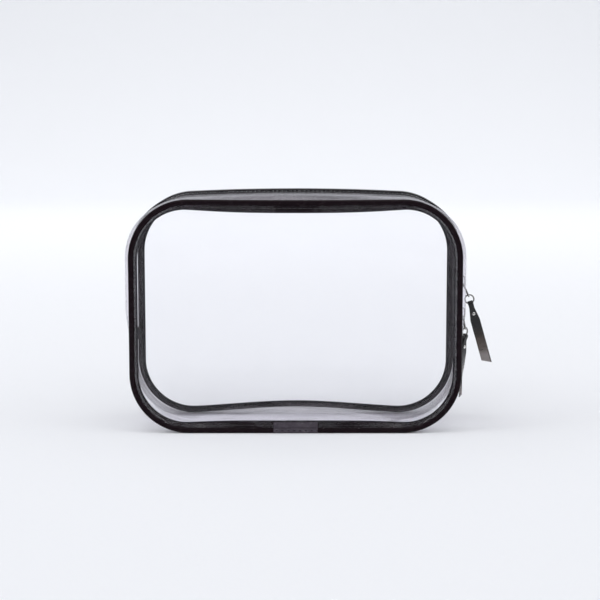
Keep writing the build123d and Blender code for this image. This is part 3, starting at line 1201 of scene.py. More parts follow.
@dataclass(frozen=True)
class SmokyStrap:
    """The pull's strap: black and solid at the ring, brown lower down where a sheen of reflected light is
    painted in, and pale and partly see-through at its tip.
    """

    name: str
    upper: Color = (0.012, 0.011, 0.012)
    # Brown middle colour: a painted sheen, light reflected off the glossy black strap.
    middle: Color = (0.060, 0.045, 0.036)
    tip: Color = (0.26, 0.245, 0.24)
    girth: float = 0.0069
    painted_sheen_span: tuple[float, float] = (0.042, 0.054)
    pale: tuple[float, float] = (0.057, 0.064)
    thin: tuple[float, float] = (0.040, 0.060)
    light: Color = (0.75, 0.68, 0.66)
    clear: float = 0.30

    def build(self, effects: Effects) -> bpy.types.Material:
        """Make the material.

        Args:
            effects: The shared effect groups.

        Returns:
            Three colours down the strap, the middle one a painted sheen, the first again along its edges,
            thinner at its tip.
        """
        material, graph = new_material(self.name)
        split = graph.add("ShaderNodeSeparateXYZ", {"Vector": graph.own_map()}).outputs
        down = split["X"]
        half_turns = graph.math("MULTIPLY", split["Y"], TAU / 2 / self.girth)
        # Edges mixed back towards the black, which keeps the painted sheen off them.
        edge = graph.ramp(graph.math("ABSOLUTE", graph.math("SINE", half_turns)), low=0.34, high=0.16)
        # Painted sheen: the colour turns from black to brown down the strap.
        tone = graph.colors(graph.ramp(down, *self.painted_sheen_span), self.upper, self.middle)
        layers = ((graph.ramp(down, *self.pale), self.tip), (graph.math("MULTIPLY", edge, 0.7), self.upper))
        for share, color in layers:
            mix = graph.add("ShaderNodeMix", {0: share, 6: tone, 7: (*color, 1.0)}, data_type="RGBA")
            tone = mix.outputs[2]
        solid_share = graph.math("MULTIPLY_ADD", graph.ramp(down, *self.thin), -self.clear, 1.0)
        through = graph.add("ShaderNodeBsdfTransparent", {"Color": (*self.light, 1.0)}).outputs[0]
        solid = graph.add("ShaderNodeBsdfPrincipled", {
            "Base Color": tone, "Roughness": 0.2, "Specular IOR Level": 0.3, "Coat Weight": 0.1,
            "Normal": use_group(graph, effects.grain, Depth=0.000003)["Normal"]}).outputs[0]
        mixed = graph.add("ShaderNodeMixShader", {0: solid_share, 1: through, 2: solid}).outputs[0]
        graph.finish("ShaderNodeOutputMaterial", Surface=mixed)
        return material


@dataclass(frozen=True)
class Paper:
    """The seamless backdrop's matt paper, with faint fibres."""

    name: str
    color: Color

    def build(self) -> bpy.types.Material:
        """Make the material.

        Returns:
            Rough paper with a very shallow grain.
        """
        material, graph = new_material(self.name)
        fibres = graph.bump(graph.noise(graph.place(), scale=400.0, detail=4.0), 0.00003)
        shader = graph.add("ShaderNodeBsdfPrincipled", {
            "Base Color": (*self.color, 1.0), "Roughness": 0.9, "Specular IOR Level": 0.1,
            "Normal": fibres})
        graph.finish("ShaderNodeOutputMaterial", Surface=shader.outputs[0])
        return material


@dataclass(frozen=True)
class Finishes:
    """Every material of the bag and its stage."""

    clear: bpy.types.Material
    gusset: bpy.types.Material
    vinyl: bpy.types.Material
    patch: bpy.types.Material
    binding: bpy.types.Material
    tape: bpy.types.Material
    coil: bpy.types.Material
    cord: bpy.types.Material
    thread: bpy.types.Material
    slider: bpy.types.Material
    wire: bpy.types.Material
    rivet: bpy.types.Material
    strap: bpy.types.Material
    paper: bpy.types.Material

    @classmethod
    def make(cls) -> "Finishes":
        """Build every material once.

        Returns:
            The finishes.
        """
        effects = Effects.make()
        # The gusset's dark haze colour, its haze and its lines paint the grey-brown reflections that the film
        # shows at low angles.
        gusset = ClearFilm("clear_gusset_vinyl", tint=(0.958, 0.95, 0.966), haze=0.022,
                           haze_and_reflection_color=(0.36, 0.325, 0.36), ripple=0.0006, reflection_streaks=0.17)
        vinyl = CoatedVinyl("black_vinyl", (0.0065, 0.0022, 0.0042), (0.012, 0.0055, 0.0085))
        patch = CoatedVinyl("black_vinyl_joint", (0.065, 0.055, 0.068), (0.14, 0.12, 0.14), 0.16)
        # The tapes' lighter second colours are a painted highlight on the woven crowns, and the lint's
        # colour.
        binding = WovenTape("binding_tape", (0.010, 0.009, 0.012), (0.045, 0.041, 0.05), pitch=0.0005)
        tape = WovenTape("zip_tape", (0.007, 0.0065, 0.008), (0.035, 0.031, 0.035))
        coil = Fibre("zip_coil", (0.014, 0.012, 0.014), (0.03, 0.027, 0.03), pitch=0.002,
                     depth=0.00001, roughness=0.2)
        cord = Fibre("piping_cord", (0.35, 0.34, 0.33), (0.6, 0.58, 0.56), pitch=0.003,
                     depth=0.0002, roughness=0.8)
        thread = Fibre("thread", (0.012, 0.011, 0.013), (0.06, 0.055, 0.06), pitch=0.0008,
                       depth=0.00005, roughness=0.55)
        return cls(
            clear=ClearFilm("clear_vinyl").build(),
            gusset=gusset.build(),
            vinyl=vinyl.build(effects),
            patch=patch.build(effects),
            binding=binding.build(effects),
            tape=tape.build(effects),
            coil=coil.build(),
            cord=cord.build(),
            thread=thread.build(),
            slider=PlatedMetal("slider_metal", (0.40, 0.385, 0.37), (0.16, 0.15, 0.14), 0.15).build(effects),
            wire=PlatedMetal("wire_metal", (0.36, 0.35, 0.34), (0.15, 0.14, 0.135), 0.12).build(effects),
            rivet=PlatedMetal("rivet_metal", (0.78, 0.77, 0.75), (0.40, 0.38, 0.36), 0.14).build(effects),
            strap=SmokyStrap("strap_vinyl").build(effects),
            paper=Paper("backdrop_paper", (0.86, 0.87, 0.89)).build(),
        )


# ---- The bag's soft pieces ----


@dataclass
class Fold:
    """The mouth's fold: its line from just below the hinge to the top, and how each side's pieces are placed.
    """

    start: Place
    end: Place

    @classmethod
    def from_frame(cls, outline: Outline, below: float = 2.5 * MM) -> "Fold":
        """The fold from just below the hinge to the top of the outline.

        Args:
            outline: The bag's outline.
            below: How far below the hinge the bend begins.

        Returns:
            The fold.
        """
        _, depth, height = joint("mouth_fold")["pos_m"]
        return cls((0.0, depth, height - below), (0.0, depth, outline.height))

    def attach(self, made: bpy.types.Object, face: Face) -> None:
        """Bake a front piece's transform into its mesh, or let a back piece ride on the bag.

        Args:
            made: The piece.
            face: The side that it belongs to.
        """
        if face is Face.FRONT:
            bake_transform(made)
        else:
            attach(made, Body.BAG.value)


@dataclass
class Builder:
    """Finishes a piece: mesh, material, replaced nodes and body."""

    finishes: Finishes
    fold: Fold

    def piece(self, name: str, surfaces: list[Surface], material: bpy.types.Material, slot: Slot,
              face: Face = Face.BACK, nodes: tuple[str, ...] = (),
              body: str | None = None) -> bpy.types.Object:
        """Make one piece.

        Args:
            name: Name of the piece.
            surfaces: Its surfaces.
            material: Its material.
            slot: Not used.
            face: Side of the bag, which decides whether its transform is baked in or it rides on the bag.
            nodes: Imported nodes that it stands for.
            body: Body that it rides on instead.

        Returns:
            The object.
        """
        made = make_object(f"{name}_look", surfaces)
        made.data.materials.append(material)
        if body:
            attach(made, body)
        else:
            self.fold.attach(made, face)
        if nodes:
            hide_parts(*nodes)
        log.info("%s: %d faces", name, len(made.data.polygons))
        return made


@dataclass
class SewnPart:
    """What every sewn sub-assembly works with."""

    builder: Builder
    sweep: Sweep
    section: Section

    @property
    def outline(self) -> Outline:
        """The bag's outline."""
        return self.sweep.shape.outline

    @property
    def finishes(self) -> Finishes:
        """The materials."""
        return self.builder.finishes


def stitch_rise(places: Array, pitch: float, start: float = -0.55) -> Array:
    """Whether a stitch's thread is on top: a cosine with the stitch's pitch, eased into steps.

    Args:
        places: Distances along the seam.
        pitch: Length of one stitch.
        start: Value of the cosine at which the thread comes up; it is up from 0.1 on.

    Returns:
        1 where the thread lies on top, 0 where it has gone through.
    """
    return smoothstep(start, 0.1, np.cos(places * TAU / pitch))


@dataclass
class SeamRing(SewnPart):
    """One side's panel, piping, cord, binding, stitches and joint sleeve."""

    face: Face
    step: float = 2.2 * MM
    bead_sides: int = 20
    corner_rows: int = 22
    straight_rows: int = 40
    panel_columns: int = 110
    crowding: float = 1.35
    pucker: float = 0.05 * MM
    pucker_reach: tuple[float, float] = (9 * MM, 2 * MM)
    gather_pitch: float = 2.9 * MM
    gather_share: float = 0.018
    flange_play: float = 0.04 * MM
    sewn_depth: float = 0.06 * MM
    sewn_width: float = 0.9 * MM
    tape_thickness: float = 0.56 * MM
    stitch_pitch: float = 3.2 * MM
    stitch_share: float = 0.42
    stitch_drop: float = 1.1 * MM
    thread_radius: float = 0.16 * MM
    joint_half: float = 14 * MM
    joint_wall: float = 0.45 * MM
    joint_gap: float = 0.03 * MM
    wrinkle: float = 0.05 * MM
    wrinkle_pitch: float = 3.7 * MM
    joint_turns: tuple[float, float] = (math.radians(100), math.radians(-75))

    @property
    def sign(self) -> int:
        """-1 for the front, 1 for the back."""
        return self.face.value

    @property
    def stitch_inset(self) -> float:
        """Inset of the seam's stitches."""
        return self.section.bead + self.stitch_share * self.section.seam_width

    def named(self, piece: str) -> str:
        """The piece's name with its side."""
        return f"{self.face.name.lower()}_{piece}"

    def nodes(self, piece: str) -> tuple[str, ...]:
        """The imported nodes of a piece.

        Args:
            piece: Name of the piece, less its side.

        Returns:
            Two halves at the front, one at the back.
        """
        name = self.named(piece)
        return (f"{name}_lower", f"{name}_upper") if self.face is Face.FRONT else (name,)

    def places(self, step: float) -> Array:
        """Places all the way round, about step apart."""
        return np.linspace(0, self.outline.length, int(self.outline.length / step), endpoint=False)

    def build(self) -> None:
        """Make every piece of this side."""
        self.panel()
        self.piping()
        self.cord()
        self.binding()
        self.stitches()
        self.joint_sleeve()

    def panel(self) -> None:
        """Clear panel: a flat sheet cut to the outline, puckered where it is sewn.

        Each row is as wide as the outline at its height, by Pythagoras in the corners, and the
        puckers are a sine of the way round that dies away inwards.
        """
        outline, inset, section = self.outline, self.section.bead, self.section
        radius, low, high = outline.radius - inset, inset, outline.height - inset
        turn = np.linspace(0.0, math.pi / 2, self.corner_rows)
        corner = low + radius * (1 - np.cos(turn))
        straight = np.linspace(corner[-1], outline.height - corner[-1], self.straight_rows)[1:-1]
        height = np.concatenate([corner, straight, outline.height - corner[::-1]])
        missing = np.maximum(0, np.maximum(low + radius - height, height - high + radius))
        half = outline.width / 2 - outline.radius + np.sqrt(np.maximum(0.0, radius**2 - missing**2))
        t = np.linspace(-1, 1, self.panel_columns)
        share = np.sign(t) * (1 - (1 - np.abs(t)) ** self.crowding)
        x, z = half[:, None] * share, np.broadcast_to(height[:, None], (len(height), len(t)))
        to_edge = np.minimum(half[:, None] - np.abs(x), np.minimum(z - low, high - z))
        waves = np.sin((x + z) * TAU / self.stitch_pitch / 2)
        waves = self.pucker * smoothstep(*self.pucker_reach, to_edge) * waves
        outside = self.sign * (section.panel_inside + section.sheet) + self.sign * waves
        inside = outside - self.sign * section.sheet
        layers = [np.stack([x, outside, z], -1), np.stack([x, inside, z], -1)[:, ::-1]]
        points = self.sweep.shape.relax(np.concatenate(layers, axis=1))
        across = path_lengths(points[len(height) // 2], True)
        surface = Surface(points, height, across, wrap_columns=True, capped=True)
        made = self.builder.piece(self.named("panel"), [surface], self.finishes.clear, Slot.CLEAR_VINYL,
                                  self.face, self.nodes("panel"))

    def piping(self) -> None:
        """Piping: a bead with gathers round the corners, and the flange that is sewn into the seam.

        The bead's radius loses a sine of the way round in the corners; the flange's middle dips by
        a bell curve at the stitches.
        """
        section, places = self.section, self.places(self.step / 2)
        bent = 1 - np.abs(np.cos(2 * self.outline.turn(places)))
        gathers = bent * (1 + np.sin(places * TAU / self.gather_pitch))
        radius = section.bead_radius * (1 - self.gather_share * gathers)
        bead = self.sweep.tube(places, -section.bead_radius, self.sign * section.bead_depth, radius,
                               self.bead_sides)
        rise = np.linspace(-1.2 * section.bead_radius, -section.raw_edge, 9)[None]
        sewn = np.exp(-(((rise + self.stitch_inset) / self.sewn_width) ** 2))
        depth = self.sign * (section.flange_middle - self.sewn_depth * sewn)
        thickness = section.panel_inside - section.hem_outside - self.flange_play
        flange = self.sweep.ribbon(self.places(self.step), rise, depth, thickness, True)
        self.builder.piece(self.named("piping"), [bead, flange], self.finishes.vinyl, Slot.BLACK_VINYL,
                           self.face, self.nodes("piping"))

    def cord(self) -> None:
        """Cord inside the bead."""
        low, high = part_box(self.nodes("piping_cord")[0])
        cord = self.sweep.tube(self.places(self.step), -self.section.bead_radius,
                               self.sign * self.section.bead_depth, (high.y - low.y) / 2, 10)
        self.builder.piece(self.named("piping_cord"), [cord], self.finishes.cord, Slot.PIPING_CORD,
                           self.face, self.nodes("piping_cord"))

    def binding(self) -> None:
        """Binding tape round the raw edges on the inside of the seam."""
        section = self.section
        inside, edge = section.binding_inside + 0.3 * MM, section.raw_edge + 0.34 * MM
        corners = [(-section.bead - 0.9 * MM, inside), (-edge, inside),
                   (-edge, section.panel_inside - 0.12 * MM)]
        line = soft_line(corners, 18, passes=2)
        tape = self.sweep.ribbon(self.places(self.step), line[None, :, 0], self.sign * line[None, :, 1],
                                 self.tape_thickness, True)
        self.builder.piece(self.named("seam_binding"), [tape], self.finishes.binding, Slot.BINDING_TAPE,
                           self.face, self.nodes("seam_binding"))

    def stitches(self) -> None:
        """The seam's lockstitch: a thread that shows on the panel and dives between stitches."""
        places = self.places(0.4 * MM)
        up = stitch_rise(places, self.stitch_pitch)
        outside = self.section.panel_inside + self.section.sheet
        depth = outside + self.thread_radius * 0.7 - (1 - up) * self.stitch_drop
        path = self.outline.point(places, -self.stitch_inset, self.sign * depth)
        thread = self.sweep.thread(path, self.thread_radius, closed=True)
        self.builder.piece(self.named("seam_stitches"), [thread], self.finishes.thread, Slot.BLACK_VINYL,
                           self.face)

    def joint_sleeve(self) -> None:
        """Sleeve of thin vinyl that covers the piping's two ends at the middle of the base.

        It lies flat on the panel's seam and then follows an arc round the bead, kept above the
        ground, with a sine of wrinkles along it.
        """
        section, wall = self.section, self.joint_wall
        places = np.linspace(-self.joint_half, self.joint_half, 40)
        wrinkle = self.wrinkle * np.sin(places * TAU / self.wrinkle_pitch)
        angle = np.linspace(*self.joint_turns, 22)
        reach = section.bead_radius + wall / 2 + self.joint_gap
        arc_rise = np.minimum(-section.bead_radius + reach * np.sin(-angle), -wall / 2 - self.joint_gap)
        arc_depth = section.bead_depth + reach * np.cos(angle)
        patch = section.panel_inside + section.sheet + wall / 2 + 0.05 * MM
        flat_rise = np.linspace(-section.raw_edge + 0.2 * MM, -section.bead - 0.1 * MM, 9)
        rise = np.concatenate([flat_rise, arc_rise])
        depth = np.concatenate([np.full(9, patch), np.minimum(arc_depth, patch)])
        line = soft_line(list(zip(rise, depth)), 34, passes=2)
        rise = line[None, :, 0] + wrinkle[:, None] * 0.3
        depth = self.sign * (line[None, :, 1] + wrinkle[:, None])
        sleeve = self.sweep.ribbon(places, rise, depth, wall)
        self.builder.piece(self.named("piping_joint"), [sleeve], self.finishes.patch, Slot.BLACK_VINYL,
                           self.face, (self.named("piping_joint"),))


@dataclass
class Base(SewnPart):
    """The clear gusset round the base, its end tabs and their stitches."""

    step: float = 2.4 * MM
    bulge: float = 0.4 * MM
    clearance: float = 0.2 * MM
    tab_depth: float = 30.6 * MM
    tab_thickness: float = 0.5 * MM
    tab_roll: float = 0.12 * MM
    tab_rows: int = 14
    row_inset: float = 1.2 * MM
    stitch_pitch: float = 2.8 * MM
    thread_radius: float = 0.14 * MM

    def rise_at(self, places: Array, depth: Array) -> Array:
        """Rise of the gusset, which swells outwards between its seams on the upright sides.

        Args:
            places: Places on the outline.
            depth: Depths of the section's points.

        Returns:
            The bulge, times a parabola in depth and the square of how much the outline faces
            sideways, places by points.
        """
        sideways = self.outline.sideways(places)[:, None]
        share = 1 - np.square(np.clip(np.abs(depth) / self.section.riser, 0, 1))[None]
        return self.bulge * sideways**2 * share

    def build(self) -> None:
        """Make the gusset and both end tabs."""
        section = self.section
        top = self.outline.at_height(section.zip_start - self.clearance)
        places = even_places(-top, top, self.step)
        corners = [(r, -d) for r, d in section.hem_corners()] + section.hem_corners()[::-1]
        line = soft_line(corners, 92, passes=3)
        rise = line[None, :, 0] + self.rise_at(places, line[:, 1])
        gusset = self.sweep.ribbon(places, rise, line[None, :, 1], section.sheet)
        made = self.builder.piece("base_gusset", [gusset], self.finishes.gusset, Slot.CLEAR_VINYL,
                                  nodes=("base_gusset",))
        for side, name in ((1, "right"), (-1, "left")):
            self.end_tab(side, name)

    def end_tab(self, side: int, name: str) -> None:
        """Tape across the gusset where the zip's ends are sewn to it, with two rows of stitches.

        Args:
            side: 1 for the right side, -1 for the left.
            name: The side's name.
        """
        low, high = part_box(f"zip_end_tab_{name}")
        outline = self.outline
        start, end = (outline.at_height(h) for h in (low.z, high.z))
        rows = self.tab_rows
        places = np.linspace(start, end, rows) if side > 0 else outline.length - np.linspace(end, start, rows)
        depth = np.linspace(-self.tab_depth, self.tab_depth, 44)
        rise = self.rise_at(places, depth) - (outline.width / 2 - (low.x + high.x) / 2 * side)
        roll = self.tab_roll * np.cos(np.linspace(-1, 1, rows) * math.pi)[:, None]
        tab = self.sweep.ribbon(places, rise + roll, depth[None], self.tab_thickness)
        self.builder.piece(f"zip_end_tab_{name}", [tab], self.finishes.binding, Slot.BINDING_TAPE,
                           nodes=(f"zip_end_tab_{name}",))
        y = np.arange(-self.tab_depth + 1.5 * MM, self.tab_depth - 1.5 * MM, 0.35 * MM)
        up = stitch_rise(y, self.stitch_pitch, start=-0.5)
        threads = []
        for level in (low.z + self.row_inset, high.z - self.row_inset):
            place = outline.at_height(level) if side > 0 else outline.length - outline.at_height(level)
            rise = self.rise_at(np.array([place]), y)[0] + 0.28 * MM - (1 - up) * 0.8 * MM
            path = outline.point(np.full(len(y), place), rise, y)
            threads.append(self.sweep.thread(path, self.thread_radius))
        self.builder.piece(f"zip_end_stitches_{name}", threads, self.finishes.thread, Slot.BINDING_TAPE)


@dataclass
class ZipSide(SewnPart):
    """One side's half of the zip: the clear strip, the woven tape, the coil and its stitches."""

    face: Face
    sliders: tuple[tuple[float, float], ...]
    step: float = 2.2 * MM
    bulge: float = 2.8 * MM
    top_bulge: float = 0.5 * MM
    end_fade: float = 22 * MM
    lap_gap: float = 0.04 * MM
    coil_pitch: float = 1.45 * MM
    loop_points: int = 12
    wire_radius: float = 0.3 * MM
    core_radius: float = 0.45 * MM
    closed_gap: float = 0.15 * MM
    parted_gap: float = 0.35 * MM
    slider_reach: float = 5.6 * MM
    slider_fade: float = 1.5 * MM
    stitch_pitch: float = 2.9 * MM
    stitch_drop: float = 0.8 * MM
    thread_radius: float = 0.15 * MM

    @property
    def span(self) -> tuple[float, float]:
        """Places of the zip's right and left ends."""
        start = self.outline.at_height(self.section.zip_start)
        return start, self.outline.length - start

    def zip_rise(self, places: Array, depth: Array | float = 0.0) -> Array:
        """Rise of the tape's outside at each place."""
        return self.section.zip_rise(self.outline.sideways(places), depth)

    def near(self, places: Array, low: float, high: float) -> Array:
        """Whether places on the right side are held apart by a slider somewhere in a range.

        Args:
            places: Places on the outline.
            low: Lowest height of the slider's middle.
            high: Highest height of it.

        Returns:
            1 within the slider's reach of the range, easing to 0 beyond it.
        """
        start, end = self.outline.at_height(low), self.outline.at_height(high)
        beyond = np.maximum(0.0, np.maximum(start - places, places - end))
        return smoothstep(self.slider_reach + self.slider_fade, self.slider_reach, beyond)

    def nodes(self, piece: str) -> tuple[str, ...]:
        """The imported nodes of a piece.

        Args:
            piece: Name of the piece, less its side.

        Returns:
            Three at the front, one at the back.
        """
        if self.face is Face.BACK:
            return (f"{piece}_back",)
        return tuple(f"{piece}_front_{part}" for part in ("left", "right", "top"))

    def named(self, piece: str) -> str:
        """The piece's name with its side."""
        return f"{piece}_{self.face.name.lower()}"

    def build(self) -> None:
        """Make every piece of this half."""
        self.strip()
        self.tape()
        self.coil()
        self.lap_stitches()

    def strip(self) -> None:
        """Clear strip from the seam up to its lap on the tape, swollen on the upright sides.

        Between the riser and the tape its rise climbs to the lap's by a smooth step, plus a
        parabola of swelling that fades towards the zip's ends.
        """
        section = self.section
        places = even_places(*self.span, self.step)
        corners = section.hem_corners() + [(0.0, section.tape_outside), (0.0, section.strip_edge)]
        line = soft_line(corners, 64, passes=3)
        rise, depth = line[:, 0], line[:, 1]
        climb = smoothstep(section.riser, section.tape_outside, depth)
        between = np.clip((section.riser - depth) / (section.riser - section.tape_outside), 0, 1)
        arch = 4 * between * (1 - between)
        sideways = self.outline.sideways(places)[:, None]
        to_end = np.minimum(places - self.span[0], self.span[1] - places)
        ends = smoothstep(0.0, self.end_fade, to_end)[:, None]
        swell = (self.bulge * sideways**2 + self.top_bulge * (1 - sideways**2)) * (0.15 + 0.85 * ends)
        lap = section.zip_rise(sideways, depth[None]) + section.sheet / 2 + self.lap_gap
        rise = rise[None] * (1 - climb[None]) + lap * climb[None] + swell * arch[None]
        strip = self.sweep.ribbon(places, rise, self.face.value * depth[None], section.sheet)
        made = self.builder.piece(self.named("zip_strip"), [strip], self.finishes.gusset,
                                  Slot.CLEAR_VINYL, self.face, self.nodes("zip_strip"))
        self.span[1] - self.span[0]

    def tape(self) -> None:
        """Woven tape under the coil."""
        section = self.section
        places = even_places(*self.span, self.step)
        depth = np.linspace(section.tape_inside, section.tape_outside, 16)[None]
        sideways = self.outline.sideways(places)[:, None]
        middle = section.zip_rise(sideways, depth) - section.tape_thickness / 2
        tape = self.sweep.ribbon(places, middle, self.face.value * depth, section.tape_thickness)
        made = self.builder.piece(self.named("zip_tape"), [tape], self.finishes.tape, Slot.ZIP_TAPE,
                                  self.face, self.nodes("zip_tape"))
        self.span[1] - self.span[0]

    def coil(self) -> None:
        """Nylon coil: loops that reach to the middle, drawn back where a slider holds them apart.

        The wire is a helix about an oval, whose inner end moves out at the sliders; a straight
        cord runs through it.
        """
        section, outline = self.section, self.outline
        start, end = self.span
        loops = int((end - start) / self.coil_pitch)
        places = np.linspace(start + 1 * MM, end - 1 * MM, loops * self.loop_points)
        phase = TAU * loops * np.linspace(0, 1, len(places)) + (0 if self.face is Face.FRONT else math.pi)
        apart = np.max([self.near(places, at, at) for at, _ in self.sliders], axis=0)
        way = np.max([self.near(places, at, to) for at, to in self.sliders], axis=0)
        inner = self.closed_gap + self.parted_gap * way
        inner = inner + (section.tape_inside - 0.5 * MM) * apart + self.wire_radius
        outer = section.coil_outside - self.wire_radius
        tall = section.coil_height / 2 - self.wire_radius
        depth = (inner + outer) / 2 + (outer - inner) / 2 * np.cos(phase)
        rise = self.zip_rise(places) + section.coil_height / 2 + tall * np.sin(phase)
        path = outline.point(places, rise, self.face.value * depth)
        sparse = places[:: self.loop_points // 2]
        core = outline.point(sparse, self.zip_rise(sparse) + section.coil_height / 2,
                             self.face.value * (outer - 0.5 * MM))
        surfaces = [self.sweep.thread(path, self.wire_radius, sides=5),
                    self.sweep.thread(core, self.core_radius, sides=6)]
        self.builder.piece(self.named("zip_coil"), surfaces, self.finishes.coil, Slot.ZIP_COIL,
                           self.face, self.nodes("zip_coil"))

    def lap_stitches(self) -> None:
        """Two stitch lines: one holds the strip to the tape, one holds the coil."""
        section = self.section
        places = np.arange(self.span[0] + 2 * MM, self.span[1] - 2 * MM, 0.4 * MM)
        up = stitch_rise(places, self.stitch_pitch)
        rows = []
        for depth, level in ((section.strip_edge + 1.5 * MM, section.sheet + 0.12 * MM),
                             (section.coil_outside + 0.7 * MM, 0.1 * MM)):
            rise = self.zip_rise(places, depth) + level - (1 - up) * self.stitch_drop
            path = self.outline.point(places, rise, self.face.value * depth)
            rows.append(self.sweep.thread(path, self.thread_radius))
        self.builder.piece(self.named("zip_stitches"), rows, self.finishes.thread, Slot.ZIP_TAPE, self.face)


# ---- Sliders and pulls ----


@dataclass
class Pull:
    """One slider with its link, ring, strap and rivet."""

    builder: Builder
    name: str
    head: int
    twist: float = 0.0
    plate: float = 1.05 * MM
    plate_edge: float = 0.32 * MM
    top_plate: tuple[float, float] = (4.1 * MM, 5.1 * MM)
    tail_share: float = 0.81
    head_share: float = 0.9
    wall_height: float = 3.35 * MM
    wall_inset: float = 0.55 * MM
    wall_halves: tuple[float, float] = (0.75 * MM, 0.42 * MM)
    neck_place: float = 2.6 * MM
    neck_levels: tuple[float, float] = (0.9 * MM, 4.3 * MM)
    neck_halves: tuple[float, float] = (1.35 * MM, 0.4 * MM)
    bridge_half: float = 3.1 * MM
    bridge_crown: float = 2.3 * MM
    bridge_levels: tuple[float, float, float] = (4.6 * MM, 6.0 * MM, 6.7 * MM)
    bridge_halves: tuple[float, float] = (0.9 * MM, 0.4 * MM)
    wire: float = 0.45 * MM
    link_half: float = 2.35 * MM
    link_corner: float = 1.2 * MM
    ring_radius: float = 2.9 * MM
    strap_length: float = 41.0 * MM
    strap_half: float = 3.1 * MM
    neck_half: float = 1.65 * MM
    neck_end: float = 3.0 * MM
    shoulder: float = 11.0 * MM
    second_ply: float = 23.0 * MM
    slant: float = 3.0 * MM
    slant_reach: float = 9.0 * MM
    round_end: float = 2.5 * MM
    ply: float = 0.8 * MM
    ply_gap: float = 0.02 * MM
    fold_radius: float = 1.5 * MM
    rivet_place: float = 7.0 * MM
    stitch_span: tuple[float, float] = (9.0 * MM, 1.2 * MM)
    stitch_pitch: float = 1.9 * MM
    stitch_inset: float = 0.75 * MM
    stitch_drop: float = 0.5 * MM
    thread_radius: float = 0.11 * MM

    def pivot(self, part: str) -> Array:
        """Rest position of one of this pull's joints."""
        return np.array(joint(f"{self.name}_{part}_swing")["pos_m"], float)

    def travel(self) -> tuple[float, float]:
        """Heights of the slider's middle.

        Returns:
            At rest and at the upper end of its travel.
        """
        low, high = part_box(f"{self.name}_slider")
        middle = (low.z + high.z) / 2
        return middle, middle + joint(f"{self.name}_slider_travel")["range_m"][1]

    def add(self, piece: str, suffix: str, surfaces: list[Surface], material: bpy.types.Material,
            slot: Slot, body: str) -> None:
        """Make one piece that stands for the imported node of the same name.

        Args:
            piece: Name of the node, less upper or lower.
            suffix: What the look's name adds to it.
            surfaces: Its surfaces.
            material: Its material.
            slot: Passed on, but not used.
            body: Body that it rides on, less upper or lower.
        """
        node = f"{self.name}_{piece}"
        self.builder.piece(f"{node}_{suffix}", surfaces, material, slot, nodes=(node,),
                           body=f"{self.name}_{body}")

    def build(self) -> None:
        """Make the slider and everything that hangs from it."""
        self.slider()
        self.link()
        self.ring()
        self.strap()
        self.rivet()

    def slider(self) -> None:
        """Slider: two softly edged plates, the upper one with side walls, a neck and an arched bridge."""
        low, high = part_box(f"{self.name}_slider")
        half, wide = (high.z - low.z) / 2, (high.y - low.y) / 2
        origin = np.array([low.x, 0.0, (low.z + high.z) / 2])
        axes = np.array([self.head * AXIS_Z, AXIS_Y, AXIS_X])
        outer = self.plate_outline(half, wide, self.tail_share * wide)
        parts = [stacked(outer, origin, axes, *levels, self.plate_edge)
                 for levels in ((0.0, self.plate), self.top_plate)]
        reach = np.linspace(-half + 0.6 * MM, half - 1.2 * MM, 24)
        widths = [self.tail_share * wide, wide, self.head_share * wide]
        width = np.interp(reach, [-half, 0.2 * half, half], widths) - self.wall_inset
        for sign in (-1, 1):
            wall = np.stack([np.full(24, self.wall_height), sign * width, self.head * reach], -1)
            parts.append(sweep_bar(origin + wall, AXIS_X, *self.wall_halves, 16, 5.0, False))
        neck_end = self.head * (half - self.neck_place)
        neck = np.stack([np.linspace(*self.neck_levels, 8), np.zeros(8), np.full(8, neck_end)], -1)
        parts.append(sweep_bar(origin + neck, AXIS_Z, *self.neck_halves, 16, 2.5, False))
        foot, shoulder, crown = self.bridge_levels
        rising = [(foot, -self.bridge_half), (shoulder, -self.bridge_half), (crown, -self.bridge_crown)]
        arch = soft_line(rising + [(level, -place) for level, place in rising[::-1]], 40, passes=2)
        bridge = np.stack([arch[:, 0], np.zeros(40), arch[:, 1]], -1)
        parts.append(sweep_bar(origin + bridge, AXIS_Y, *self.bridge_halves, 18, 4.0, False))
        self.add("slider", "body", parts, self.builder.finishes.slider, Slot.SLIDER_METAL, "slider")

    def plate_outline(self, half: float, wide: float, tail: float) -> Array:
        """Outline of a slider plate: two shoulders at the head, narrower and rounder at the tail.

        Args:
            half: Half the slider's length.
            wide: Half its width at the head.
            tail: Half its width at the tail.

        Returns:
            Points by 2, a softened line through the corners of one side and its mirror image.
        """
        corners = [(-half, 0.0), (-half, tail * 0.8), (-0.82 * half, tail), (0.1 * half, wide * 0.985),
                   (0.7 * half, wide), (half, 0.72 * wide), (half, 0.25 * wide), (0.86 * half, 0.0)]
        upper = soft_line(corners, 56, passes=4)
        lower = upper[-2:0:-1] * [1, -1]
        return np.vstack([upper, lower])[::-1]

    def link(self) -> None:
        """Wire link on the bridge: a long loop of straight runs and quarter turns."""
        top, end = self.pivot("link"), self.pivot("ring")
        length, half, corner = float(np.linalg.norm(end - top)), self.link_half, self.link_corner
        down = (end - top) / np.linalg.norm(end - top)
        turn = np.linspace(0, math.pi / 2, 9)
        arc = corner * np.stack([np.sin(turn), 1 - np.cos(turn)], -1)
        straight = np.linspace(corner, length - corner, 14)[1:-1]
        right = np.vstack([np.stack([half - corner + arc[:, 0], arc[:, 1]], -1),
                           np.stack([np.full(12, half), straight], -1),
                           np.stack([half - corner + arc[::-1, 0], length - arc[::-1, 1]], -1)])
        loop = np.vstack([right, right[::-1] * [-1, 1]])
        path = top + loop[:, :1] * AXIS_Y + loop[:, 1:] * down
        wire = sweep_bar(path, np.cross(down, AXIS_Y), self.wire, self.wire, 14, 2.0, True)
        self.add("puller_link", "wire", [wire], self.builder.finishes.wire, Slot.WIRE_METAL, "link")

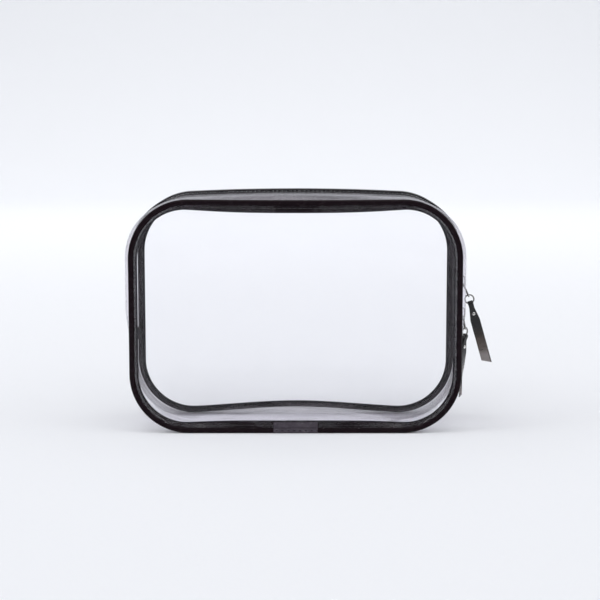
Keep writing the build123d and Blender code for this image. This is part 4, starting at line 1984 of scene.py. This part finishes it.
    def axes(self) -> tuple[Array, Array, Array]:
        """Directions of the strap.

        Returns:
            Across it, down it and out of its face.
        """
        across = np.array(joint(f"{self.name}_strap_swing")["axis"], float)
        down = self.pivot("strap") - self.pivot("ring")
        down /= np.linalg.norm(down)
        return across, down, np.cross(across, down)

    def ring(self) -> None:
        """Round wire ring between the link and the strap."""
        across, down, face = self.axes()
        centre = self.pivot("strap") - down * self.ring_radius
        angle = TAU * np.arange(56)[:, None] / 56
        path = centre + self.ring_radius * (np.cos(angle) * across + np.sin(angle) * down)
        wire = sweep_bar(path, face, self.wire, self.wire, 14, 2.0, True)
        self.add("pull_ring", "wire", [wire], self.builder.finishes.wire, Slot.WIRE_METAL, "ring")

    def centre_line(self) -> Array:
        """The strap's middle line, from the second ply's end, round the ring to the tip.

        Returns:
            Distances down the strap and out of its face: an open circle about the ring's wire with
            a straight ply from each end.
        """
        gap = self.ply / 2 + self.ply_gap
        turn = np.radians(np.linspace(-128, 128, 30))
        eye = self.fold_radius * np.stack([-np.cos(turn), -np.sin(turn)], -1)
        closing = [(4.5 * MM, gap), (3.2 * MM, gap * 1.25)]
        first = [(self.second_ply, gap), (self.second_ply - 6 * MM, gap), *closing]
        opening = [(place, -out) for place, out in closing[::-1]]
        last = [*opening, (12 * MM, -gap), (self.strap_length - self.slant / 2, -gap)]
        return soft_line(first + [tuple(p) for p in eye] + last, 190, passes=2)

    def half_width(self, place: Array) -> Array:
        """Half the strap's width at each place down it."""
        return np.interp(place, [self.neck_end, self.shoulder], [self.neck_half, self.strap_half])

    def strap(self) -> None:
        """Strap: one long ply that folds round the ring and ends half way down, with stitched edges.

        Its cut end is rounded by the square root of a parabola, and its tip is sheared aslant.
        """
        across, down, face = self.axes()
        origin = self.pivot("strap")
        line = self.centre_line()
        way, place = path_lengths(line, False), line[:, 0]
        from_end = np.clip(1 - way / self.round_end, 0, 1)
        half = self.half_width(place) * (np.sqrt(1 - np.square(from_end)) * 0.75 + 0.25)
        across_here, face_here = self.twisted(across, face, place)
        path = origin + place[:, None] * down + line[:, 1:] * face_here
        body = sweep_bar(path, across_here, half, self.ply / 2, 28, 6.0, False)
        sideways = ((body.points - origin) * across_here[:, None]).sum(axis=-1)
        tip = smoothstep(way[-1] - self.slant_reach, way[-1], way)[:, None] * self.slant / 2 / self.strap_half
        body.points = body.points + (sideways * tip)[..., None] * down
        self.add("pull_strap", "vinyl", [body], self.builder.finishes.strap, Slot.STRAP_VINYL, "strap")
        self.strap_stitches(origin, across, down, face)

    def twisted(self, across: Array, face: Array, place: Array) -> tuple[Array, Array]:
        """Turn the strap's directions by its twist, which grows smoothly from its neck to its tip.

        Args:
            across: Direction across the strap at the ring.
            face: Direction out of its face there.
            place: Distances down the strap.

        Returns:
            The two directions at each place.
        """
        angle = self.twist * smoothstep(self.neck_end, self.strap_length, place)[:, None]
        cos, sin = np.cos(angle), np.sin(angle)
        return across * cos + face * sin, face * cos - across * sin

    def strap_stitches(self, origin: Array, across: Array, down: Array, face: Array) -> None:
        """Stitch lines through both plies, just inside the strap's edges.

        Args:
            origin: The strap's pivot.
            across: Direction across the strap.
            down: Direction down it.
            face: Direction out of its face.
        """
        start, margin = self.stitch_span
        place = np.arange(start, self.second_ply - margin, 0.22 * MM)
        up = stitch_rise(place, self.stitch_pitch)
        half = self.half_width(place) - self.stitch_inset
        across_here, face_here = self.twisted(across, face, place)
        rows = []
        for side in (-1, 1):
            for out in (-1, 1):
                level = out * (self.ply + 0.06 * MM - (1 - up) * self.stitch_drop)
                path = origin + place[:, None] * down + (side * half)[:, None] * across_here
                path = path + level[:, None] * face_here
                rows.append(sweep_bar(path, across, self.thread_radius, self.thread_radius, 6, 2.0, False))
        self.builder.piece(f"{self.name}_pull_strap_stitches", rows, self.builder.finishes.thread,
                           Slot.STRAP_VINYL, body=f"{self.name}_strap")

    def rivet(self) -> None:
        """Rivet with a low domed head on each side, turned from one profile in millimetres."""
        _, down, face = self.axes()
        profile = np.array([(0.05, 1.3), (0.45, 1.28), (0.85, 1.18), (1.08, 1.02), (1.15, 0.9),
                            (1.15, 0.82), (0.6, 0.8)])
        whole = np.vstack([profile, profile[::-1] * [1, -1]]) * MM
        surface = lathe(whole, self.pivot("strap") + down * self.rivet_place, face, 28)
        self.add("pull_rivet", "dome", [surface], self.builder.finishes.rivet, Slot.RIVET_METAL, "strap")


# ---- Stage, light and camera ----


@dataclass(frozen=True)
class SoftBox:
    """A rectangular area light."""

    name: str
    place: Place
    aim: Place
    size: tuple[float, float]
    power: float
    color: Color = (1.0, 1.0, 1.0)
    mirrored: bool = True

    def build(self) -> None:
        """Add the light, with its -Z axis towards its aim."""
        data = bpy.data.lights.new(self.name, "AREA")
        data.shape = "RECTANGLE"
        data.size, data.size_y = self.size
        data.energy, data.color = self.power, self.color
        lamp = bpy.data.objects.new(self.name, data)
        bpy.context.scene.collection.objects.link(lamp)
        lamp.visible_glossy = self.mirrored
        lamp.location = self.place
        direction = Vector(self.aim) - Vector(self.place)
        lamp.rotation_euler = direction.to_track_quat("-Z", "Y").to_euler()


@dataclass
class Studio:
    """A seamless pale backdrop, soft boxes, a pale sky and the camera."""

    finishes: Finishes
    sweep_depth: float = 3.2
    sweep_height: float = 3.0
    bend: float = 0.9
    half_width: float = 5.0
    front: float = -3.0
    thickness: float = 0.004
    sky: Color = (0.945, 0.955, 0.99)
    sky_strength: float = 1.12
    room: float = 0.12
    seen_strength: float = 0.95
    tilt: float = 0.45
    horizon: tuple[float, float] = (-0.2, 0.5)
    lens: float = 85.8
    camera_place: Place = (0.0028, -0.925, 0.187)
    pitch: float = math.radians(6.53)

    def build(self) -> None:
        """Make the backdrop, lights, sky and camera."""
        self.backdrop()
        aim = (0.0, 0.0, 0.07)
        boxes = [
            SoftBox("ceiling_box", (0.0, -0.5, 2.4), aim, (1.6, 0.5), 4.0),
            SoftBox("backdrop_box", (0.0, 1.5, 2.7), (0.0, 4.1, 0.9), (4.0, 0.5), 34.0),
            SoftBox("front_fill", (0.0, -3.0, 1.6), (0.0, 0.0, 0.0), (3.0, 2.0), 15.0, mirrored=False),
            SoftBox("left_box", (-1.9, -0.9, 1.1), aim, (0.22, 1.6), 3.0),
            SoftBox("right_box", (1.8, -1.1, 0.9), aim, (0.18, 1.5), 2.2, (1.0, 0.98, 0.97)),
        ]
        for box in boxes:
            box.build()
        self.open_sky()
        self.camera()
        scene = bpy.context.scene
        scene.view_settings.view_transform = "Standard"
        scene.cycles.transparent_max_bounces = 32

    def open_sky(self) -> None:
        """Sky that is bright above and behind, dark in front, and pale wherever the camera sees it.

        Its strength is a smooth step of height plus a share of depth, from the room's to the sky's.
        """
        world = bpy.data.worlds.new("pale_sky")
        bpy.context.scene.world = world
        world.use_nodes = True
        graph = Graph(world.node_tree)
        shade = world.node_tree.nodes["Background"]
        shade.inputs["Color"].default_value = (*self.sky, 1.0)
        direction = graph.add("ShaderNodeTexCoord").outputs["Generated"]
        toward = graph.add("ShaderNodeSeparateXYZ", {"Vector": direction}).outputs
        height = graph.math("MULTIPLY_ADD", toward["Y"], self.tilt, toward["Z"])
        share = graph.ramp(height, *self.horizon)
        bright = graph.math("MULTIPLY_ADD", share, self.sky_strength - self.room, self.room)
        seen = graph.add("ShaderNodeLightPath").outputs["Is Camera Ray"]
        rest = graph.math("SUBTRACT", self.seen_strength, bright)
        strength = graph.math("MULTIPLY_ADD", rest, seen, bright)
        graph.tree.links.new(strength, shade.inputs["Strength"])

    def backdrop(self) -> None:
        """Paper that runs along the floor and curves up behind by a quarter turn."""
        turn = np.linspace(0, math.pi / 2, 24)
        curve = np.stack([self.sweep_depth + self.bend * np.sin(turn), self.bend * (1 - np.cos(turn))], -1)
        line = np.vstack([[self.front, 0.0], curve, [self.sweep_depth + self.bend, self.sweep_height]])
        x = np.array([-self.half_width, self.half_width])
        under = line - [0.0, self.thickness]
        under[-6:, 0] += self.thickness
        ring = np.vstack([line, under[::-1]])
        columns = (x[:, None], ring[:, 0], ring[:, 1])
        points = np.stack([np.broadcast_to(v, (2, len(ring))) for v in columns], -1)
        surface = Surface(points, x, path_lengths(ring, True), wrap_columns=True, capped=True)
        paper = make_object("backdrop", [surface])
        paper.data.materials.append(self.finishes.paper)

    def camera(self) -> None:
        """A long lens a little above the bag, looking slightly down."""
        data = bpy.data.cameras.new("camera")
        data.lens, data.sensor_width = self.lens, 36.0
        data.clip_start, data.clip_end = 0.01, 50.0
        camera = bpy.data.objects.new("camera", data)
        bpy.context.scene.collection.objects.link(camera)
        camera.location = self.camera_place
        camera.rotation_euler = (math.pi / 2 - self.pitch, 0.0, 0.0)
        bpy.context.scene.camera = camera


@dataclass
class MakeupBag:
    """The whole bag."""

    finishes: Finishes

    def build(self) -> None:
        """Make every sub-assembly."""
        outline = Outline.from_frame()
        section = Section.from_frame(outline)
        log.info("outline %s, section %s", outline, section)
        sweep = Sweep(SoftShape(outline, section))
        builder = Builder(self.finishes, Fold.from_frame(outline))
        pulls = [Pull(builder, "upper", 1), Pull(builder, "lower", -1, twist=math.radians(46))]
        heights = tuple(pull.travel() for pull in pulls)
        Base(builder, sweep, section).build()
        for face in Face:
            SeamRing(builder, sweep, section, face).build()
            ZipSide(builder, sweep, section, face, heights).build()
        for pull in pulls:
            pull.build()


def main() -> None:
    """Build the bag and the studio."""
    logging.basicConfig(level=logging.INFO, format="%(message)s")
    finishes = Finishes.make()
    MakeupBag(finishes).build()
    Studio(finishes).build()


if __name__ == "__main__":
    main()
